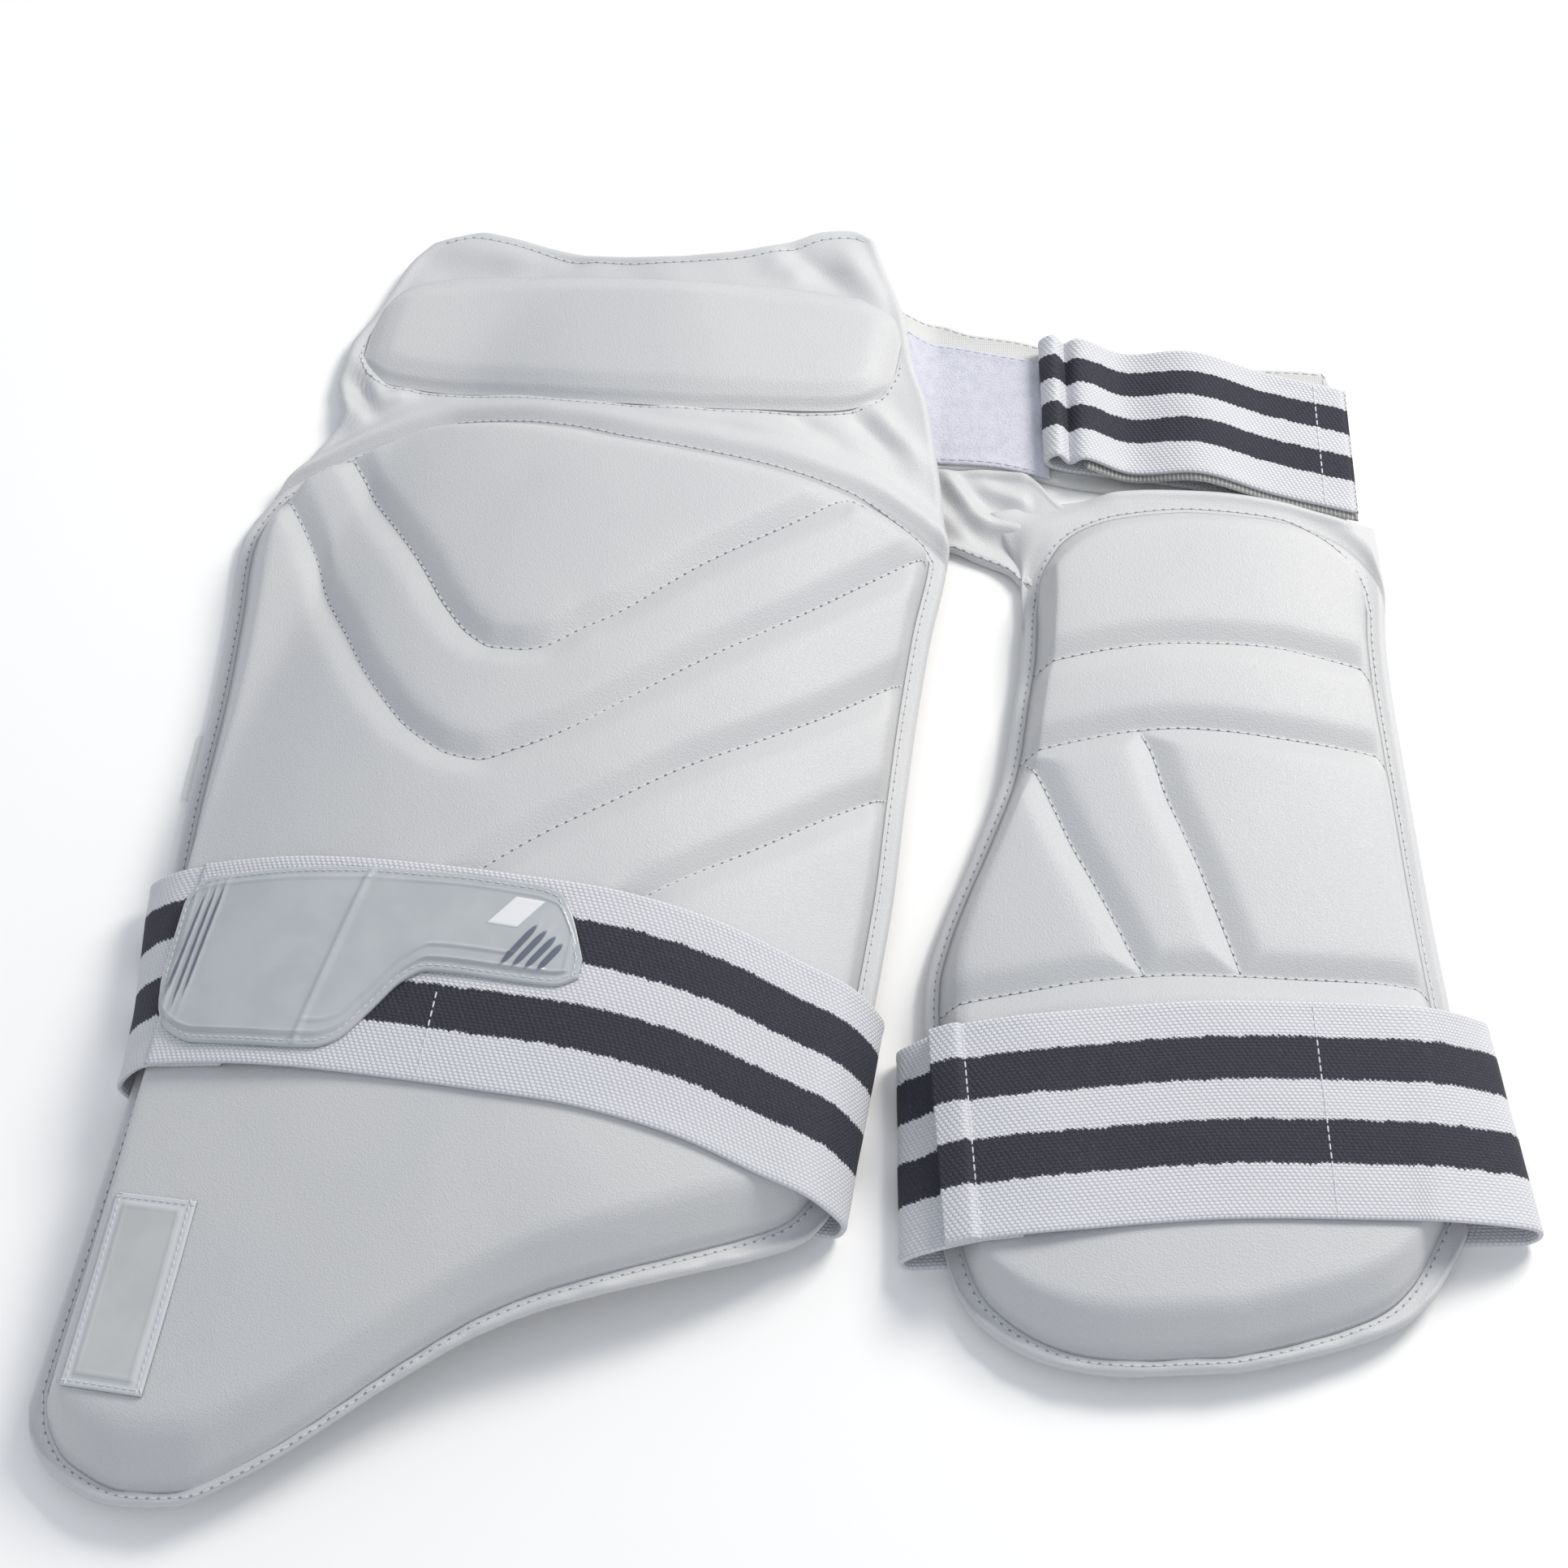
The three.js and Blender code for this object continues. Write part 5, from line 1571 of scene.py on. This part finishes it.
strap_plate, badge_u, badge_v = strap_badge("strap_plate", (190, 84))
grow(strap_plate, "badge_plate", clear_plate, "strap_badge")
around_u, around_v = beside(badge_u, badge_v, -2.0)
layers = read(OUTER_RUN["front"], "layers", around_u / OUTER["width"]) * STRAP_LAYER
badge_row = row_on(OUTER, around_u, around_v, BADGE_SEAT + BADGE_THICK - 0.75 + layers)
stitch_rows("badge", [badge_row], "badge_plate", size=(1.9, 0.5, 0.3), pitch=2.8)


# %% Patch on the tail
PATCH_SEAT = CARRIER_THICK / 2 + OUTER["foam"] + PIECE_GAP / 2 + 0.35
PATCH_BORDER = 3.5


def patch_relief(edge):
    """A flat border, then a step up to the plate, with a fine line round the step."""
    return 0.7 * (1 - ease_out((edge - 3.2) / 0.8)) + 0.3 * bell(edge - 4.4, 0.35) - 0.35


def leg_patch(name, width, length):
    """The upright patch on the tail, with its plate raised inside a border."""
    g = OUTER
    centre_u, centre_v = -0.345 * g["width"], -0.22 * g["length"]
    lean = -0.03
    s = edged(40, 0.05, RIM)[:, None] - 0.5
    t = edged(84, 0.025, RIM)[None, :] - 0.5
    v = centre_v + t * length + 0 * s
    u = centre_u + s * width - lean * (v - centre_v)
    edge = np.minimum((0.5 - np.abs(s)) * width, (0.5 - np.abs(t)) * length)
    high = PATCH_THICK * round_edge(edge, 0.6) + patch_relief(edge)
    border = -1.0 * (edge < PATCH_BORDER)
    return raised(name, g, u, v, PATCH_SEAT, high, border)


leg_plate, patch_u, patch_v = leg_patch("leg_plate", 26.5, 64)
grow(leg_plate, "badge_plate", patch_plate, "leg_badge")
patch_row = row_on(OUTER, *beside(patch_u, patch_v, -1.7), PATCH_SEAT + PATCH_THICK - 0.3)
stitch_rows("patch", [patch_row], "badge_plate", size=(1.8, 0.5, 0.3), pitch=2.6)


# %% Size label
def size_tab(name):
    """The ribbon tab that sticks out under the outer guard's left edge."""
    g = OUTER
    length, out, hidden = 26, 3, 7
    s = edged(10, 0.06, RIM)[:, None]
    t = edged(18, 0.04, RIM)[None, :]
    v = 0.158 * g["length"] + (t - 0.5) * length + 0 * s
    u = side(g, v, "left", 0) - out + (out + hidden) * s
    near = np.minimum(np.minimum(s, 1 - s) * (out + hidden), np.minimum(t, 1 - t) * length)
    half = 0.3 * round_edge(near, 0.3)
    middle = -CARRIER_THICK / 2 - PIECE_GAP - 0.3
    return slab(name, g, u, v, middle - half, middle + half), point(g, u, v, middle + half)


size_ribbon, ribbon_top = size_tab("size_ribbon")
grow(size_ribbon, "label_tape", label_weave, "size_label")

# %% [markdown]
# ## Floor, light and camera
# The floor is plain and pale. The light comes from behind and from the right, as in the photograph,
# so that every bevel that faces the viewer is a soft shade darker than the fields. The camera looks
# down at sixty degrees.


# %% Floor and surroundings
def paper_floor():
    """A wide sheet of pale paper at the height that the set lies on."""
    mesh = bpy.data.meshes.new("floor")
    half = 4
    corners = [(-half, -half, 0), (half, -half, 0), (half, half, 0), (-half, half, 0)]
    mesh.from_pydata(corners, [], [(0, 1, 2, 3)])
    floor = bpy.data.objects.new("floor", mesh)
    bpy.context.scene.collection.objects.link(floor)
    floor_paper = bpy.data.materials.new("floor_paper")
    floor_paper.use_nodes = True
    shader = floor_paper.node_tree.nodes["Principled BSDF"]
    shader.inputs["Base Color"].default_value = (0.985, 0.975, 0.96, 1)
    shader.inputs["Roughness"].default_value = 0.9
    mesh.materials.append(floor_paper)


def surroundings(color, strength):
    """An even light from all sides."""
    world = bpy.data.worlds.new("studio")
    bpy.context.scene.world = world
    world.use_nodes = True
    world.node_tree.nodes["Background"].inputs[0].default_value = color
    world.node_tree.nodes["Background"].inputs[1].default_value = strength


paper_floor()
surroundings((0.88, 0.925, 1, 1), 0.64)


# %% Lamps
def lamp(name, place, size, power, color):
    """A square area light that looks at the middle of the set."""
    data = bpy.data.lights.new(name, "AREA")
    data.size = size
    data.energy = power
    data.color = color
    light = bpy.data.objects.new(name, data)
    light.location = place
    x, y, z = place
    light.rotation_euler = (math.atan2(math.hypot(x, y), z), 0, math.atan2(x, -y))
    bpy.context.scene.collection.objects.link(light)


lamp("key", (0.86, 0.74, 1.02), 0.55, 18.4, (1, 0.97, 0.92))
lamp("fill", (-0.5, -1.1, 1.5), 1.4, 2, (0.9, 0.95, 1))

# %% Camera
ELEVATION = math.radians(60)
AWAY = 1.110
FOCAL_PIXELS = 3880
PICTURE_PIXELS = 1932
data = bpy.data.cameras.new("camera")
data.sensor_width = 36
data.lens = FOCAL_PIXELS / PICTURE_PIXELS * data.sensor_width
view = bpy.data.objects.new("camera", data)
view.location = (SHIFT[0] * MM, SHIFT[1] * MM - AWAY * math.cos(ELEVATION), AWAY * math.sin(ELEVATION))
view.rotation_euler = (math.pi / 2 - ELEVATION, 0, 0)
bpy.context.scene.collection.objects.link(view)
bpy.context.scene.camera = view
bpy.context.scene.view_settings.view_transform = "Standard"
